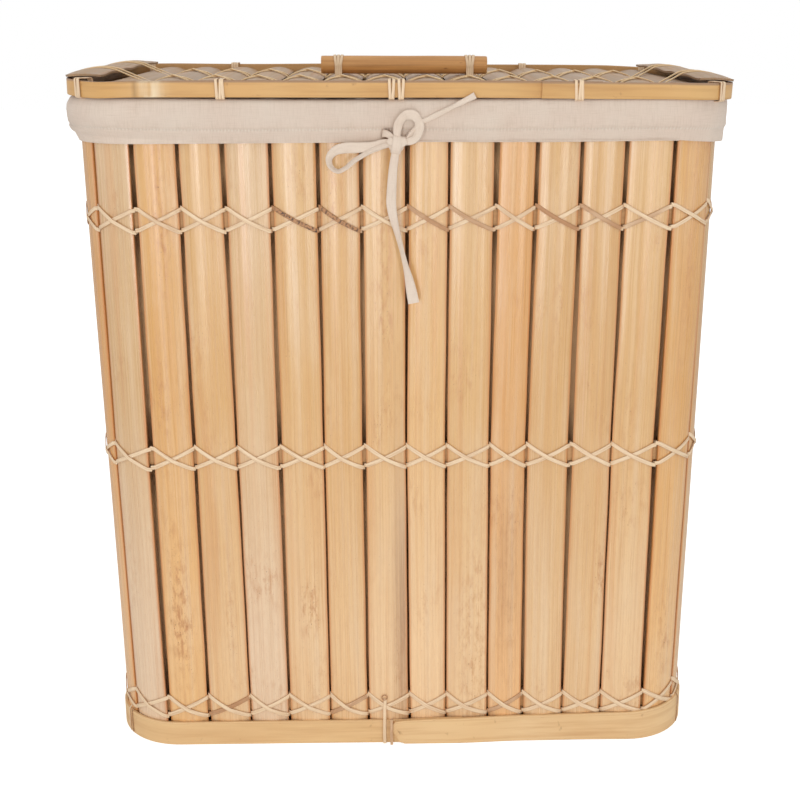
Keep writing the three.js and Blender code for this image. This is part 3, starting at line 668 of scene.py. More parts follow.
@dataclass(frozen=True)
class BandBamboo:
    """Flat bamboo of the outer bands and the rod, with its fibres along the piece."""

    name: str
    ground: Rgb
    shadow: Rgb
    light: Rgb
    roughness: float = 0.45
    nick: Rgb = linear(140, 86, 46)
    cut_and_shade_colours: tuple[Rgb, Rgb] = (linear(172, 136, 104), linear(150, 116, 88))
    mark: Rgb = linear(150, 112, 66)
    bleach: Rgb = linear(244, 228, 196)

    def material(self) -> Material:
        """Builds the finish.

        Returns:
            The material.
        """
        g = Graph(bpy.data.materials.new(self.name))
        fibres = g.noise(g.metres(1300, 8), 4, 0.6)
        grain = g.noise(g.metres(260, 5), 3)
        clouds = g.noise(g.metres(50, 9, (1.0, 2.0, 0.0)), 3)
        colour = g.mix(g.between(clouds, 0.42, 0.72, 0.0, 0.6), self.ground, self.light)
        colour = g.mix(g.between(grain, 0.45, 0.8, 0.0, 0.55), colour, self.shadow)
        colour = g.mix(g.between(fibres, 0.46, 0.74, 0.0, 0.6), colour, self.shadow)
        nicks = g.between(g.noise(g.metres(500, 90, (4.0, 7.0, 0.0)), 3), 0.66, 0.76)
        colour = g.mix(g.times(nicks, 0.7), colour, self.nick)
        # Cut faces take the cut colours; on the lid band these also paint shade on its rounded top.
        colour = g.mix(g.kept("wear"), colour, g.mix(grain, *self.cut_and_shade_colours))
        colour = g.mix(g.kept("mark"), colour, self.mark)
        paler = g.times(g.kept("bleach"), g.between(g.noise(g.metres(90, 120), 3), 0.3, 0.6))
        colour = g.mix(g.times(paler, 0.8), colour, self.bleach)
        relief = g.sum("ADD", g.times(fibres, 0.4), grain)
        roughness = g.between(grain, 0.3, 0.7, self.roughness, self.roughness + 0.12)
        return g.done(colour, roughness, relief, 0.0003)


@dataclass(frozen=True)
class Rattan:
    """Split rattan of lashings and ties: pale, with fine lines along it, brown stretches and painted shade at
    its edges.
    """

    name: str
    ground: Rgb = linear(240, 213, 178)
    line: Rgb = linear(196, 150, 104)
    light: Rgb = linear(245, 226, 190)
    stain: Rgb = linear(172, 116, 70)
    soot: Rgb = linear(62, 46, 36)
    rim: float = 1.0

    def material(self) -> Material:
        """Builds the finish.

        Returns:
            The material.
        """
        g = Graph(bpy.data.materials.new(self.name))
        lines = g.noise(g.metres(2200, 40), 3, 0.6)
        clouds = g.noise(g.metres(90, 45), 3)
        stained = g.kept("stain")
        colour = g.mix(g.between(lines, 0.45, 0.72, 0.0, 0.7), self.ground, self.line)
        colour = g.mix(g.between(clouds, 0.5, 0.75, 0.0, 0.35), colour, self.light)
        brown = g.between(g.sum("ADD", stained, g.times(clouds, 0.5)), 0.55, 0.95, 0.0, 0.85)
        colour = g.mix(brown, colour, self.stain)
        specks = g.between(g.noise(g.metres(900, 500, (2.0, 3.0, 0.0)), 2), 0.5, 0.6)
        sooty = g.times(g.between(stained, 0.7, 1.0), specks)
        colour = g.mix(sooty, colour, self.soot)
        # Painted shade: the stain colour along each strand's edges stands in for the thin shadow at its
        # sides, as much as the rim strength allows.
        edge_shade = g.times(g.between(g.kept("edge"), 0.78, 1.0, 0.0, self.rim),
                     g.between(clouds, 0.3, 0.6, 0.25, 0.7))
        colour = g.mix(edge_shade, colour, self.stain)
        return g.done(colour, 0.55, lines, 0.0003)


@dataclass(frozen=True)
class Cotton:
    """Unbleached cotton in plain weave, with slubs, rows of stitches and painted shade where a piece keeps
    it.
    """

    name: str
    ground: Rgb = linear(232, 212, 195)
    slub: Rgb = linear(206, 184, 162)
    thread: float = 0.00062
    relief: float = 0.00022
    light: Rgb = linear(238, 226, 210)
    stitch: Rgb = linear(244, 234, 220)
    shade_colour: Rgb = linear(161, 129, 107)
    crumple: float = 0.0
    stitched: bool = False

    def material(self) -> Material:
        """Builds the finish.

        Returns:
            The material.
        """
        g = Graph(bpy.data.materials.new(self.name))
        upright = g.noise(g.metres(1500, 70), 3, 0.6)
        level = g.noise(g.metres(60, 1500, (3.0, 3.0, 0.0)), 3, 0.6)
        clouds = g.noise(g.metres(30, 30), 2)
        colour = g.mix(g.between(upright, 0.46, 0.72, 0.0, 0.45), self.ground, self.slub)
        colour = g.mix(g.between(level, 0.5, 0.75, 0.0, 0.4), colour, self.slub)
        colour = g.mix(g.between(clouds, 0.4, 0.7, 0.0, 0.3), colour, self.light)
        threads = g.metres(TURN / self.thread, TURN / self.thread)
        beats = (g.sum("SINE", g.add("SeparateXYZ", {0: threads}, axis)) for axis in "XY")
        weave = g.times(*beats)
        height = g.sum("ADD", g.times(weave, 0.35), g.sum("ADD", upright, level))
        # Painted shade: the shade colour is multiplied in where the piece keeps a shade value.
        colour = g.mix(g.kept("shade"), colour, self.shade_colour, "MULTIPLY")
        if self.crumple:
            height = g.sum("ADD", height, g.times(g.noise(g.metres(17, 9), 3, 0.55), self.crumple))
        if self.stitched:
            stitch = g.kept("stitch")
            beat = g.sum("SINE", g.add("SeparateXYZ", {0: g.metres(TURN / 0.0028, 1.0)}, "X"))
            dots = g.times(stitch, g.between(beat, -0.1, 0.25))
            colour = g.mix(g.times(dots, 0.5), colour, self.stitch)
            height = g.sum("SUBTRACT", height, g.times(g.sum("SUBTRACT", stitch, dots), 1.6))
        return g.done(colour, 0.92, height, self.relief, Sheen_Weight=0.25, Sheen_Roughness=0.5,
                      Specular_IOR_Level=0.2)


@dataclass(frozen=True)
class Finishes:
    """All finishes of the hamper, built once."""

    skin: Material
    lid_skin: Material
    hoop: Material
    floor: Material
    base_band: Material
    lid_band: Material
    rod: Material
    rattan: Material
    lid_rattan: Material
    cuff: Material
    bag: Material
    tape: Material

    @staticmethod
    def mixed() -> Finishes:
        """Builds every finish.

        Returns:
            All of them together.
        """
        return Finishes(
            # lid_skin: greyer patches, little shine, and a darker brown inside, painted shade on the lid
            # strips' undersides and edges.
            skin=BambooSkin().material(), lid_skin=BambooSkin("lid_bamboo_skin", bleach=linear(184, 168, 152),
                                inside=linear(150, 120, 92), roughness=0.5, shine=0.25).material(),
            hoop=PlainBamboo("bamboo_hoop").material(),
            floor=PlainBamboo("bamboo_floor", stretch=(420.0, 14.0, 60.0)).material(),
            base_band=BandBamboo("base_band_bamboo", linear(233, 195, 142), linear(200, 150, 98),
                                 linear(238, 207, 162)).material(),
            lid_band=BandBamboo("lid_band_bamboo", linear(214, 166, 102), linear(182, 130, 74),
                                linear(224, 184, 124)).material(),
            rod=BandBamboo("rod_bamboo", linear(216, 158, 94), linear(156, 102, 54), linear(228, 176, 110),
                           roughness=0.4).material(), rattan=Rattan("rattan").material(),
            lid_rattan=Rattan("lid_rattan", ground=linear(246, 216, 168), line=linear(220, 172, 116),
                              rim=0.15).material(), cuff=Cotton("cuff_cotton", stitched=True).material(),
            # The bag's shade colour is the painted warm shade of its outer layer.
            bag=Cotton("bag_cotton", ground=linear(222, 200, 176), slub=linear(196, 168, 140),
                       shade_colour=linear(252, 226, 188), crumple=10.0).material(),
            tape=Cotton("tape_cotton", ground=linear(233, 214, 196), slub=linear(212, 189, 168),
                        thread=0.0009).material(),
        )


def dress(piece: Object, material: Material, body: str, slot: str, *nodes: str) -> Object:
    """Gives a piece its finish, its body and the solids that it stands for.

    Args:
        piece: The piece.
        material: Its finish.
        body: The body that it moves with.
        slot: Not used.
        *nodes: The solids that it replaces.

    Returns:
        The piece.
    """
    piece.data.materials.clear()
    piece.data.materials.append(material)
    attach(piece, body)
    if nodes:
        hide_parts(*nodes)
    LOG.info("%s: %d faces, moves with the %s", piece.name, len(piece.data.polygons), body)
    return piece


# The wall's plan, which the strips and the lashings share


@dataclass(frozen=True)
class Cane:
    """The section of a split strip: its width, how far its skin rises, its thickness, and its points."""

    width: float = 0.0338
    rise: float = 0.0030
    thickness: float = 0.0030
    skin_points: int = 13
    back_points: int = 7

    @property
    def radius(self) -> float:
        """Returns the radius of the cane's skin."""
        return (self.width**2 / 4 + self.rise**2) / (2 * self.rise)

    @property
    def half_angle(self) -> float:
        """Returns half the angle that the strip takes up of the cane."""
        return math.asin(self.width / 2 / self.radius)

    @property
    def depth(self) -> float:
        """Returns how far the strip's edges lie behind its crown."""
        return self.radius - (self.radius - self.thickness) * math.cos(self.half_angle)

    def skin(self, place: Place, share: float) -> Array:
        """Finds a point on the skin.

        Args:
            place: The place of the strip's crown.
            share: How far across it lies, from -1 at the left edge to 1 at the right one.

        Returns:
            The point.
        """
        angle = share * self.half_angle
        across = self.radius * math.sin(angle) * place.width / self.width
        return place.point + place.along * across + place.out * (self.radius * (math.cos(angle) - 1))

    def crown(self, place: Place) -> Skin:
        """Returns what gives a point of the skin and the way out there, from -1 to 1 across a strip."""
        return lambda share: (
            self.skin(place, share), unit(place.out + place.along * share * self.half_angle))

    def ring(self) -> tuple[Array, Array, Array]:
        """Draws the section, over the skin and back under it.

        Returns:
            How far its points lie across, how high above the crown, and how near to the edge, with 1 for the
            inside. The first point is repeated at the end.
        """
        angles = np.concatenate((np.linspace(-self.half_angle, self.half_angle, self.skin_points),
                                 np.linspace(self.half_angle, -self.half_angle, self.back_points)))
        inside = np.arange(len(angles) + 1) >= self.skin_points
        radii = np.where(inside[:-1], self.radius - self.thickness, self.radius)
        across, high = radii * np.sin(angles), radii * np.cos(angles) - self.radius
        across, high = np.append(across, across[0]), np.append(high, high[0])
        edge = np.minimum(np.abs(across) / (self.width / 2), 0.98)
        return across, high, np.where(inside, 1.0, edge)


@dataclass
class Wall:
    """The basket's wall in plan and height, measured over the crowns of its strips."""

    rim: float = 0.5822
    top_length: float = 0.541
    top_depth: float = 0.334
    base_length: float = 0.524
    base_depth: float = 0.320
    corner: float = 0.057
    hoop_corner: float = 0.046
    cane: Cane = Cane()
    strip_count: int = 44
    front_count: int = 14
    strip_shift: float = 0.005
    clearance: float = 0.0003
    slack: float = 0.00035
    floor_lift: float = 0.0004
    hoop_thickness: float = 0.004
    gap_heights: Vec = (0.060, 0.290, 0.549)
    # Where the gaps across the front lie, from left to right, off even spacing, in shares of the pitch, at
    # the three heights, and how wide they are there, in millimetres.
    gap_shifts: tuple[tuple[float, ...], ...] = (
        (-.16, -.14, -.11, -.05, -.05, .0, -.03, .01, -.05, .01, -.10, -.07, -.09, -.02, .03),
        (-.18, -.11, -.08, -.065, -.04, .015, -.03, -.03, -.08, -.04, -.16, -.11, -.13, -.07, .03),
        (-.06, -.05, -.05, -.06, -.01, .04, .0, .03, -.04, .01, -.085, -.10, -.11, -.05, .10),
    )
    gap_widths: tuple[tuple[float, ...], ...] = (
        (1.3, 2.3, 2.2, 1.0, 2.0, 1.0, 2.0, 1.6, 1.2, 1.3, 2.5, 2.2, 1.3, 2.2, 1.5),
        (1.8, 4.0, 2.6, 1.5, 3.2, 1.4, 3.0, 1.0, 1.8, 1.7, 1.9, 4.2, 1.2, 3.5, 1.6),
        (2.2, 3.1, 2.8, 3.8, 2.8, 3.1, 3.1, 3.5, 1.6, 4.4, 3.2, 2.6, 3.4, 2.4, 1.8),
    )
    bottom: float = field(init=False)

    def __post_init__(self) -> None:
        """Works out where the strips end at the floor."""
        self.bottom = self.floor_lift + self.cane.depth + self.clearance
        self._seats: dict[tuple[int, int], Place] = {}

    def outline(self, z: float) -> Outline:
        """Draws the wall's outline at a height.

        Args:
            z: The height.

        Returns:
            The outline.
        """
        share = z / self.rim
        length = self.base_length + (self.top_length - self.base_length) * share
        depth = self.base_depth + (self.top_depth - self.base_depth) * share
        return Outline(length / 2, depth / 2, self.corner)

    def hoop_face(self, z: float) -> Outline:
        """Returns the outline of the face of the inner hoops that the strips lie on."""
        inset, wall = self.cane.depth + self.clearance, self.outline(z)
        return Outline(wall.x - inset, wall.y - inset, self.hoop_corner)

    def pitch(self, z: float) -> float:
        """Returns the spacing of the strips at a height."""
        return self.outline(z).grown(-self.cane.rise).around() / self.strip_count

    def gap(self, index: int, z: float) -> tuple[float, float]:
        """Finds a gap between two strips.

        Args:
            index: The gap, in pitches from the one next to the middle of the front.
            z: The height.

        Returns:
            Where it lies, in pitches, and its width in metres.
        """
        k = (index + self.front_count // 2) % self.strip_count
        if k <= self.front_count:
            shifts = [row[k] for row in self.gap_shifts]
            widths = [row[k] * MM for row in self.gap_widths]
        else:
            rng = np.random.default_rng(100 + k)
            shifts = list(rng.uniform(-0.05, 0.05, 3))
            widths = [w * MM + float(rng.uniform(-0.7, 0.7)) * MM for w in (1.9, 2.4, 3.1)]
        low, middle, high = self.gap_heights
        t = (z - low) / (high - low)
        m = (middle - low) / (high - low)
        weights = ((t - m) * (t - 1) / m, t * (t - 1) / (m * (m - 1)), t * (t - m) / (1 - m))
        width = max(float(np.dot(weights, widths)), 0.0008)
        return index + float(np.dot(weights, shifts)), width

    def seat(self, index: int, z: float) -> Place:
        """Seats a strip on the inner hoops at a height.

        Args:
            index: The strip, counted like the gap before it.
            z: The height.

        Returns:
            The place of its crown, with its width.
        """
        cane = self.cane
        left, left_gap = self.gap(index, z)
        right, right_gap = self.gap(index + 1, z)
        width = (right - left) * self.pitch(z) - (left_gap + right_gap) / 2
        middle = (left + right) / 2 + (left_gap - right_gap) / 4 / self.pitch(z)
        shifted = self.strip_shift / self.outline(self.rim).grown(-cane.rise).around()
        place = self.outline(z).grown(-cane.rise).place(middle / self.strip_count + shifted, z)
        angles = np.linspace(-cane.half_angle, cane.half_angle, 5)
        inner = cane.radius - cane.thickness
        back = place.point + np.outer(inner * np.sin(angles) * width / cane.width, place.along)
        back = back + np.outer(inner * np.cos(angles) - cane.radius, place.out)
        face = self.hoop_face(z)
        low, high = -cane.width / 2, cane.width / 2
        for _ in range(30):
            shift = (low + high) / 2
            if face.outside(back - place.out * shift).min() > self.clearance:
                low = shift
            else:
                high = shift
        return Place(place.point - place.out * low, place.along, place.out, width)

    def strip(self, index: int, z: float) -> Place:
        """Finds a strip's place at a height, between the heights at which it is seated.

        Args:
            index: The strip, counted like the gap before it.
            z: The height.

        Returns:
            The place of its crown, with its width.
        """
        marks = (self.bottom, *self.gap_heights, self.rim)
        k = min(max(int(np.searchsorted(marks, z, "right")) - 1, 0), len(marks) - 2)
        ends = []
        for j in (k, k + 1):
            key = (index % self.strip_count, j)
            if key not in self._seats:
                self._seats[key] = self.seat(index, marks[j])
            ends.append(self._seats[key])
        share = (z - marks[k]) / (marks[k + 1] - marks[k])
        point, along, out, width = (
            getattr(ends[0], part) * (1 - share) + getattr(ends[1], part) * share
            for part in ("point", "along", "out", "width"))
        return Place(point, unit(along), unit(out), width)


# Lashings


class Row(Enum):
    """The rows of lashings, each with its height, its strands' width and how far the falling one hangs."""

    LOWER = (0.0370, 0.0041, 0.0022)
    MIDDLE = (0.27746, 0.0038, 0.0012)
    UPPER = (0.4860, 0.0036, 0.0010)


class Way(Enum):
    """Which way a strand goes over each strip."""

    RISING = 1
    FALLING = -1


@dataclass
class Lashing:
    """Two crossed rattan strands that bind a row of strips to the hoop or bar behind them."""

    thickness: float = 0.0009
    lift: float = 0.0004
    reach: float = 0.0085
    steps: int = 9

    def rings(self, crowns: Sequence[Skin], gaps: Sequence[Place], depths: Sequence[float], up: Array,
              way: Way, bow: float, start: Sequence[Place] = (),
              stop: Sequence[Place] = ()) -> tuple[Array, Array, Array]:
        """Lays a strand over the strips, and in and out of the gaps between them.

        Args:
            crowns: For each strip, what gives a point of its skin and the way out there.
            gaps: The places of the gaps.
            depths: How far behind each gap the strand passes.
            up: The way across the row.
            way: Which way the strand goes over each strip.
            bow: How far the falling strand hangs through.
            start: Places of an open row's first end.
            stop: Places of its last end.

        Returns:
            The strand's points, the way that its face looks at each, and the strip that each lies over.
        """
        sign = way.value
        reach = self.reach + (0.0 if sign > 0 else 0.0016)
        points = [place.point + up * sign * self.reach for place in start]
        faces = [place.out for place in start]
        over = [-1.0] * len(start)
        rng = np.random.default_rng(len(gaps) * 7 + sign)
        for k, (gap, depth) in enumerate(zip(gaps, depths)):
            inner = gap.point - gap.out * depth - gap.along * sign * self.thickness * 0.6
            for side, where in ((1, "in"), (1, "behind"), (-1, "behind"), (-1, "out")):
                level = up * sign * side * (reach + float(rng.uniform(-0.0005, 0.0005)))
                if where == "behind":
                    points.append(inner + level * 0.98)
                    faces.append(-gap.out)
                else:
                    points.append(gap.point - gap.out * 0.0006 + level)
                    faces.append(gap.out + gap.along * side * 0.8)
                over.append(float(k))
            if k == len(crowns):
                continue
            droop = bow * float(rng.uniform(0.5, 1.5))
            offset = float(rng.uniform(-0.0004, 0.0004))
            bridge = 0.0015 * (1 - float(np.dot(gap.out, gaps[(k + 1) % len(gaps)].out)))
            for share in np.linspace(-0.93, 0.93, self.steps):
                skin, out = crowns[k](float(share))
                arch = 1 - share**2
                rise = self.lift + self.thickness / 2 + bridge * arch
                if sign < 0:
                    rise += (self.thickness + 0.0001) * bump(share, 0, 0.22)
                height = share * reach + (offset if sign > 0 else droop) * arch
                points.append(skin + out * rise + up * sign * height)
                faces.append(out)
                over.append(float(k))
        points += [place.point - up * sign * self.reach for place in stop]
        faces += [place.out for place in stop]
        over += [float(len(gaps))] * len(stop)
        return np.array(points), np.array(faces), np.array(over)


@dataclass(frozen=True)
class Mark:
    """A stained patch on a front strip: where it lies, how large it is and how strong."""

    strip: int
    z: float
    across: float
    half_height: float
    half_width: float
    strength: float
    kind: str = "smear"

    def on(self, across: Array, z: Array) -> Array:
        """Measures the patch at points of its strip, across from -1 to 1 and at their heights."""
        return self.strength * np.exp(-(((across - self.across) / self.half_width) ** 4)
                                      - ((z - self.z) / self.half_height) ** 2)


MARKS = (
    Mark(0, 0.17, -0.5, 0.020, 0.4, 0.25), Mark(1, 0.125, -0.1, 0.060, 0.5, 0.75),
    Mark(1, 0.49, 0.1, 0.060, 0.3, 0.6), Mark(1, 0.32, -0.3, 0.050, 0.3, 0.35),
    Mark(2, 0.13, 0.3, 0.050, 0.2, 0.4), Mark(3, 0.16, 0.0, 0.020, 0.9, 0.5),
    Mark(3, 0.02, 0.6, 0.040, 0.4, 0.3), Mark(4, 0.135, 0.15, 0.022, 0.45, 0.9),
    Mark(4, 0.05, 0.3, 0.020, 0.4, 0.3), Mark(5, 0.50, -0.5, 0.060, 0.3, 0.3),
    Mark(6, 0.45, 0.0, 0.070, 0.35, 0.5), Mark(6, 0.075, 0.65, 0.060, 0.3, 0.5),
    Mark(6, 0.12, 0.68, 0.150, 0.36, 0.75, "dusk"), Mark(7, 0.13, -0.2, 0.020, 0.3, 0.3),
    Mark(8, 0.09, 0.3, 0.090, 0.7, 0.45), Mark(9, 0.15, 0.0, 0.080, 0.6, 0.3),
    Mark(9, 0.17, 0.0, 0.080, 0.8, 0.35, "dusk"), Mark(10, 0.40, 0.2, 0.040, 0.2, 0.4),
    Mark(11, 0.158, 0.7, 0.012, 0.25, 1.0), Mark(11, 0.35, -0.2, 0.03, 0.2, 0.3),
    Mark(12, 0.30, -0.3, 0.050, 0.4, 0.2), Mark(13, 0.10, -0.1, 0.050, 0.5, 0.3),
    Mark(13, 0.42, 0.1, 0.060, 0.3, 0.35),
)


@dataclass
class Basket:
    """The basket: its wall strips, its hoops and bands, its floor and its three rows of lashings."""

    wall: Wall
    finishes: Finishes
    skin_steps: int = 12
    length_steps: int = 36
    edge_round: float = 0.0005
    front_tints: tuple[Tint, ...] = (
        Tint.PALE, Tint.TAN, Tint.OLIVE, Tint.PALE, Tint.LIGHT, Tint.OLIVE, Tint.YELLOW, Tint.YELLOW,
        Tint.LIGHT, Tint.ORANGE, Tint.OLIVE, Tint.OLIVE, Tint.LIGHT, Tint.TAN,
    )
    # The skin's red, green and blue at five heights, as shares of its tint: paler and bluer low, warmer
    # higher up.
    tone_heights: tuple[float, ...] = (0.1, 0.22, 0.33, 0.42, 0.52)
    height_tones: tuple[tuple[float, ...], ...] = (
        (1.14, 1.04, 0.955, 0.945, 0.965), (1.21, 1.035, 0.888, 0.885, 0.945), (1.35, 1.0, 0.70, 0.71, 0.845))
    rim_hoop: tuple[float, float] = (0.5662, 0.582)
    base_height: float = 0.023
    base_thickness: float = 0.0029
    base_corner: float = 0.0055
    lap: float = 0.062
    lap_start: float = -0.0076
    band_steps: int = 420
    tie_shift: float = -0.0172
    second_shift: float = -0.0109

    def master_strip(self) -> Object:
        """Models the strip that all others are copied from.

        Returns:
            A strip 1 m long at the cane's section, with its crown at the origin and its skin towards +Y.
        """
        cane = self.wall.cane
        start = math.pi / 2 + cane.half_angle
        radius = cane.radius - cane.thickness / 2
        bpy.ops.object.select_all(action="DESELECT")
        bpy.ops.mesh.primitive_grid_add(
            x_subdivisions=1, y_subdivisions=self.length_steps, size=1, rotation=(math.pi / 2, 0, start),
            location=(radius * math.cos(start), radius * math.sin(start) - cane.radius, 0.5))
        piece = bpy.context.active_object
        piece.scale = (cane.thickness, 1, 1)
        bpy.ops.object.transform_apply(location=True, rotation=True, scale=True)
        bpy.ops.object.mode_set(mode="EDIT")
        bpy.ops.mesh.select_all(action="SELECT")
        bpy.ops.mesh.spin(steps=self.skin_steps, angle=2 * cane.half_angle, axis=(0, 0, 1),
                          center=(0, -cane.radius, 0))
        bpy.ops.mesh.select_all(action="SELECT")
        bpy.ops.mesh.remove_doubles(threshold=MERGE / 2)
        bpy.ops.mesh.normals_make_consistent(inside=False)
        work = bmesh.from_edit_mesh(piece.data)
        for edge in work.edges:
            upright = abs((edge.verts[0].co - edge.verts[1].co).normalized().z) > 0.99
            edge.select_set(upright and edge.calc_face_angle(0) > 1.0)
        bmesh.update_edit_mesh(piece.data)
        bpy.ops.mesh.bevel(offset=self.edge_round, segments=2, affect="EDGES")
        bpy.ops.object.mode_set(mode="OBJECT")
        return piece

    def strip_copy(self, master: Object, name: str, index: int, tint: Tint) -> Object:
        """Copies the strip and seats it in the wall, a little warped and twisted.

        Args:
            master: The strip that is copied.
            name: The copy's name.
            index: The strip, counted like the gap before it.
            tint: Its ground colour.

        Returns:
            The copy.
        """
        wall, cane = self.wall, self.wall.cane
        piece = master.copy()
        piece.data = mesh = master.data.copy()
        piece.name = mesh.name = name
        bpy.context.scene.collection.objects.link(piece)
        local = read(mesh.vertices, "co", 3)
        heights = wall.bottom + (wall.rim - wall.bottom) * local[:, 2]
        number = index % wall.strip_count
        rng = np.random.default_rng(number)
        lean, twist, phase = rng.uniform(-1, 1), rng.uniform(-1, 1), rng.uniform(0, 6.28)
        edge_waves = Waves(number + 7, (1.0, 0.12), 6)
        points = np.empty_like(local)
        levels = {}
        for i, ((x, y, t), z) in enumerate(zip(local, heights)):
            key = round(float(z), 6)
            if key not in levels:
                levels[key] = wall.strip(index, float(z))
            place = levels[key]
            across = x * place.width / cane.width
            across += math.copysign(0.00022, x) * float(edge_waves.at(np.sign(x), z))
            out = y + 0.0006 * twist * (x / 0.017) * (0.4 + math.sin(3 * t + phase))
            out += 0.0004 * lean * math.sin(2.2 * math.pi * t + phase)
            points[i] = place.point + place.along * across + place.out * out
        mesh.vertices.foreach_set("co", points.ravel())
        offset = rng.uniform(0, 9, 2)
        lay_metres(mesh, local[:, 0] + offset[0], heights + offset[1])
        shade = rng.uniform(0.97, 1.03)
        height_toned = np.column_stack([np.interp(heights, self.tone_heights, levels) for levels in self.height_tones])
        paint(piece, "tint", np.array(tint.value) * shade * height_toned)
        share = local[:, 0] / (cane.width / 2)
        front = (index + wall.front_count // 2) % wall.strip_count
        for kind, level in (("smear", 0.08), ("dusk", 0.0)):
            marks = [mark.on(share, heights) for mark in MARKS if mark.strip == front and mark.kind == kind]
            paint(piece, kind, level + sum(marks, np.zeros(len(local))))
        inner = local[:, 1] < (np.sqrt(cane.radius**2 - local[:, 0] ** 2) - cane.radius) - 0.0004
        paint(piece, "wear", np.where(inner, 0.97, np.minimum(np.abs(share), 1.0)))
        mesh.update()
        return smooth(piece, 35)

    def strips(self) -> None:
        """Copies the strip round the wall: each front strip is its own piece, the others are one."""
        wall, finishes = self.wall, self.finishes
        master = self.master_strip()
        first = -wall.front_count // 2
        for i in range(wall.front_count):
            name = f"front_strip_{i + 1:02d}"
            piece = self.strip_copy(master, f"{name}_skin", first + i, self.front_tints[i])
            dress(piece, finishes.skin, "basket", "bamboo", name)
        rng = np.random.default_rng(5)
        tints = list(Tint)
        others = [self.strip_copy(master, "strip", first + i, tints[int(rng.integers(len(tints)))])
                  for i in range(wall.front_count, wall.strip_count)]
        dress(joined("side_and_back_strips", others), finishes.skin, "basket", "bamboo",
              "rim_inner_hoop_with_side_strips")
        bpy.data.objects.remove(master)
        hoop = flat_hoop(wall.hoop_face(sum(self.rim_hoop) / 2), wall.hoop_thickness, *self.rim_hoop)
        hoop.name = hoop.data.name = "rim_inner_hoop"
        dress(hoop, finishes.hoop, "basket", "bamboo")

    def lashings(self) -> None:
        """Binds the strips to the three inner hoops with crossed strands."""
        wall = self.wall
        first = -wall.front_count // 2
        for row in Row:
            height, width, bow = row.value
            gaps, depths, crowns = [], [], []
            behind = wall.hoop_face(height).grown(-wall.hoop_thickness)
            for i in range(wall.strip_count):
                before, after = wall.strip(first + i - 1, height), wall.strip(first + i, height)
                edges = wall.cane.skin(before, 1.0), wall.cane.skin(after, -1.0)
                out = unit(before.out + after.out)
                point = (edges[0] + edges[1]) / 2
                point = point + out * abs(float(np.dot(edges[0] - edges[1], out))) / 2
                gaps.append(Place(point, unit(before.along + after.along), out))
                reach = np.linspace(0, 0.05, 400)
                inside = behind.outside(point - np.outer(reach, out)) < -wall.slack - 0.0005
                depths.append(float(reach[np.argmax(inside)]))
                crowns.append(wall.cane.crown(after))
            for way in Way:
                points, faces, over = Lashing().rings(crowns, gaps, depths, UP, way, bow)
                name = f"{row.name.lower()}_{way.name.lower()}_strand"
                piece = strand(f"{name}_rattan", points, faces, width, 0.0009, closed=True,
                               stain=self.stains(row, way, over))
                dress(piece, self.finishes.rattan, "basket", "rattan", name)

    def stains(self, row: Row, way: Way, over: Array) -> Array:
        """Says how brown a strand is over each strip.

        Args:
            row: The row of lashings.
            way: The strand's way.
            over: The strip that each of the strand's points lies over, from the left end of the front.

        Returns:
            The stain at each point, from 0 to 1.
        """
        seed, level = {Row.LOWER: (6, 0.28), Row.MIDDLE: (8, 0.05), Row.UPPER: (12, 0.4)}[row]
        stain = np.random.default_rng(seed + (way is Way.RISING)).uniform(0, level, self.wall.strip_count + 1)
        browned = {
            (Row.UPPER, Way.FALLING): {4: 1.0, 5: 0.95, 7: 0.65, 8: 0.6, 10: 0.7, 11: 0.6},
            (Row.UPPER, Way.RISING): {3: 0.3, 6: 0.3, 8: 0.35, 12: 0.5},
            (Row.LOWER, Way.RISING): {2: 0.65, 5: 0.6, 9: 0.6}, (Row.LOWER, Way.FALLING): {7: 0.35},
        }.get((row, way), {})
        for strip, value in browned.items():
            stain[strip] = value
        return stain[over.astype(int)]

    def base_band(self) -> None:
        """Bends the base band round the strips' lower ends and laps it at the middle of the front."""
        wall, height, thick, corner = self.wall, self.base_height, self.base_thickness, self.base_corner
        around = wall.outline(height / 2).grown(0.002).around()
        path, faces, tops, bottoms = [], [], [], []
        for s in np.linspace(0.0, around + self.lap, self.band_steps):
            settled = ramp(s, 0.05, 0.07)
            lying = thick * 1.02 * (1 - settled * settled * (3 - 2 * settled))
            outline = wall.outline(height / 2).grown(wall.clearance + thick / 2 + lying)
            place = outline.place((self.lap_start + s) / around, 0.0)
            x, y = place.point[:2]
            right = ramp(x, 0.02, 0.24) * ramp(-y, -0.02, 0.15)
            lift = 0.0012 * ramp(x, 0.0, 0.02) * (y < 0) + 0.0052 * right
            round_off = corner - math.sqrt(corner**2 - max(corner - s, 0.0) ** 2)
            tops.append(height + lift - round_off + 0.0006 * (1 - settled) - 0.0004)
            bottoms.append(0.0001 + 0.0006 * bump(x, 0.175, 0.05) * (y < 0))
            path.append(place.point)
            faces.append(place.out)
        tops, bottoms = np.array(tops), np.array(bottoms)
        path = np.array(path) + np.outer((tops + bottoms) / 2, UP)
        piece = strand("base_outer_band_bamboo", path, np.array(faces), tops - bottoms, thick, sides=20,
                       flat=0.14, wear=0.0, mark=0.0)
        dress(piece, self.finishes.base_band, "basket", "band", "base_outer_band")

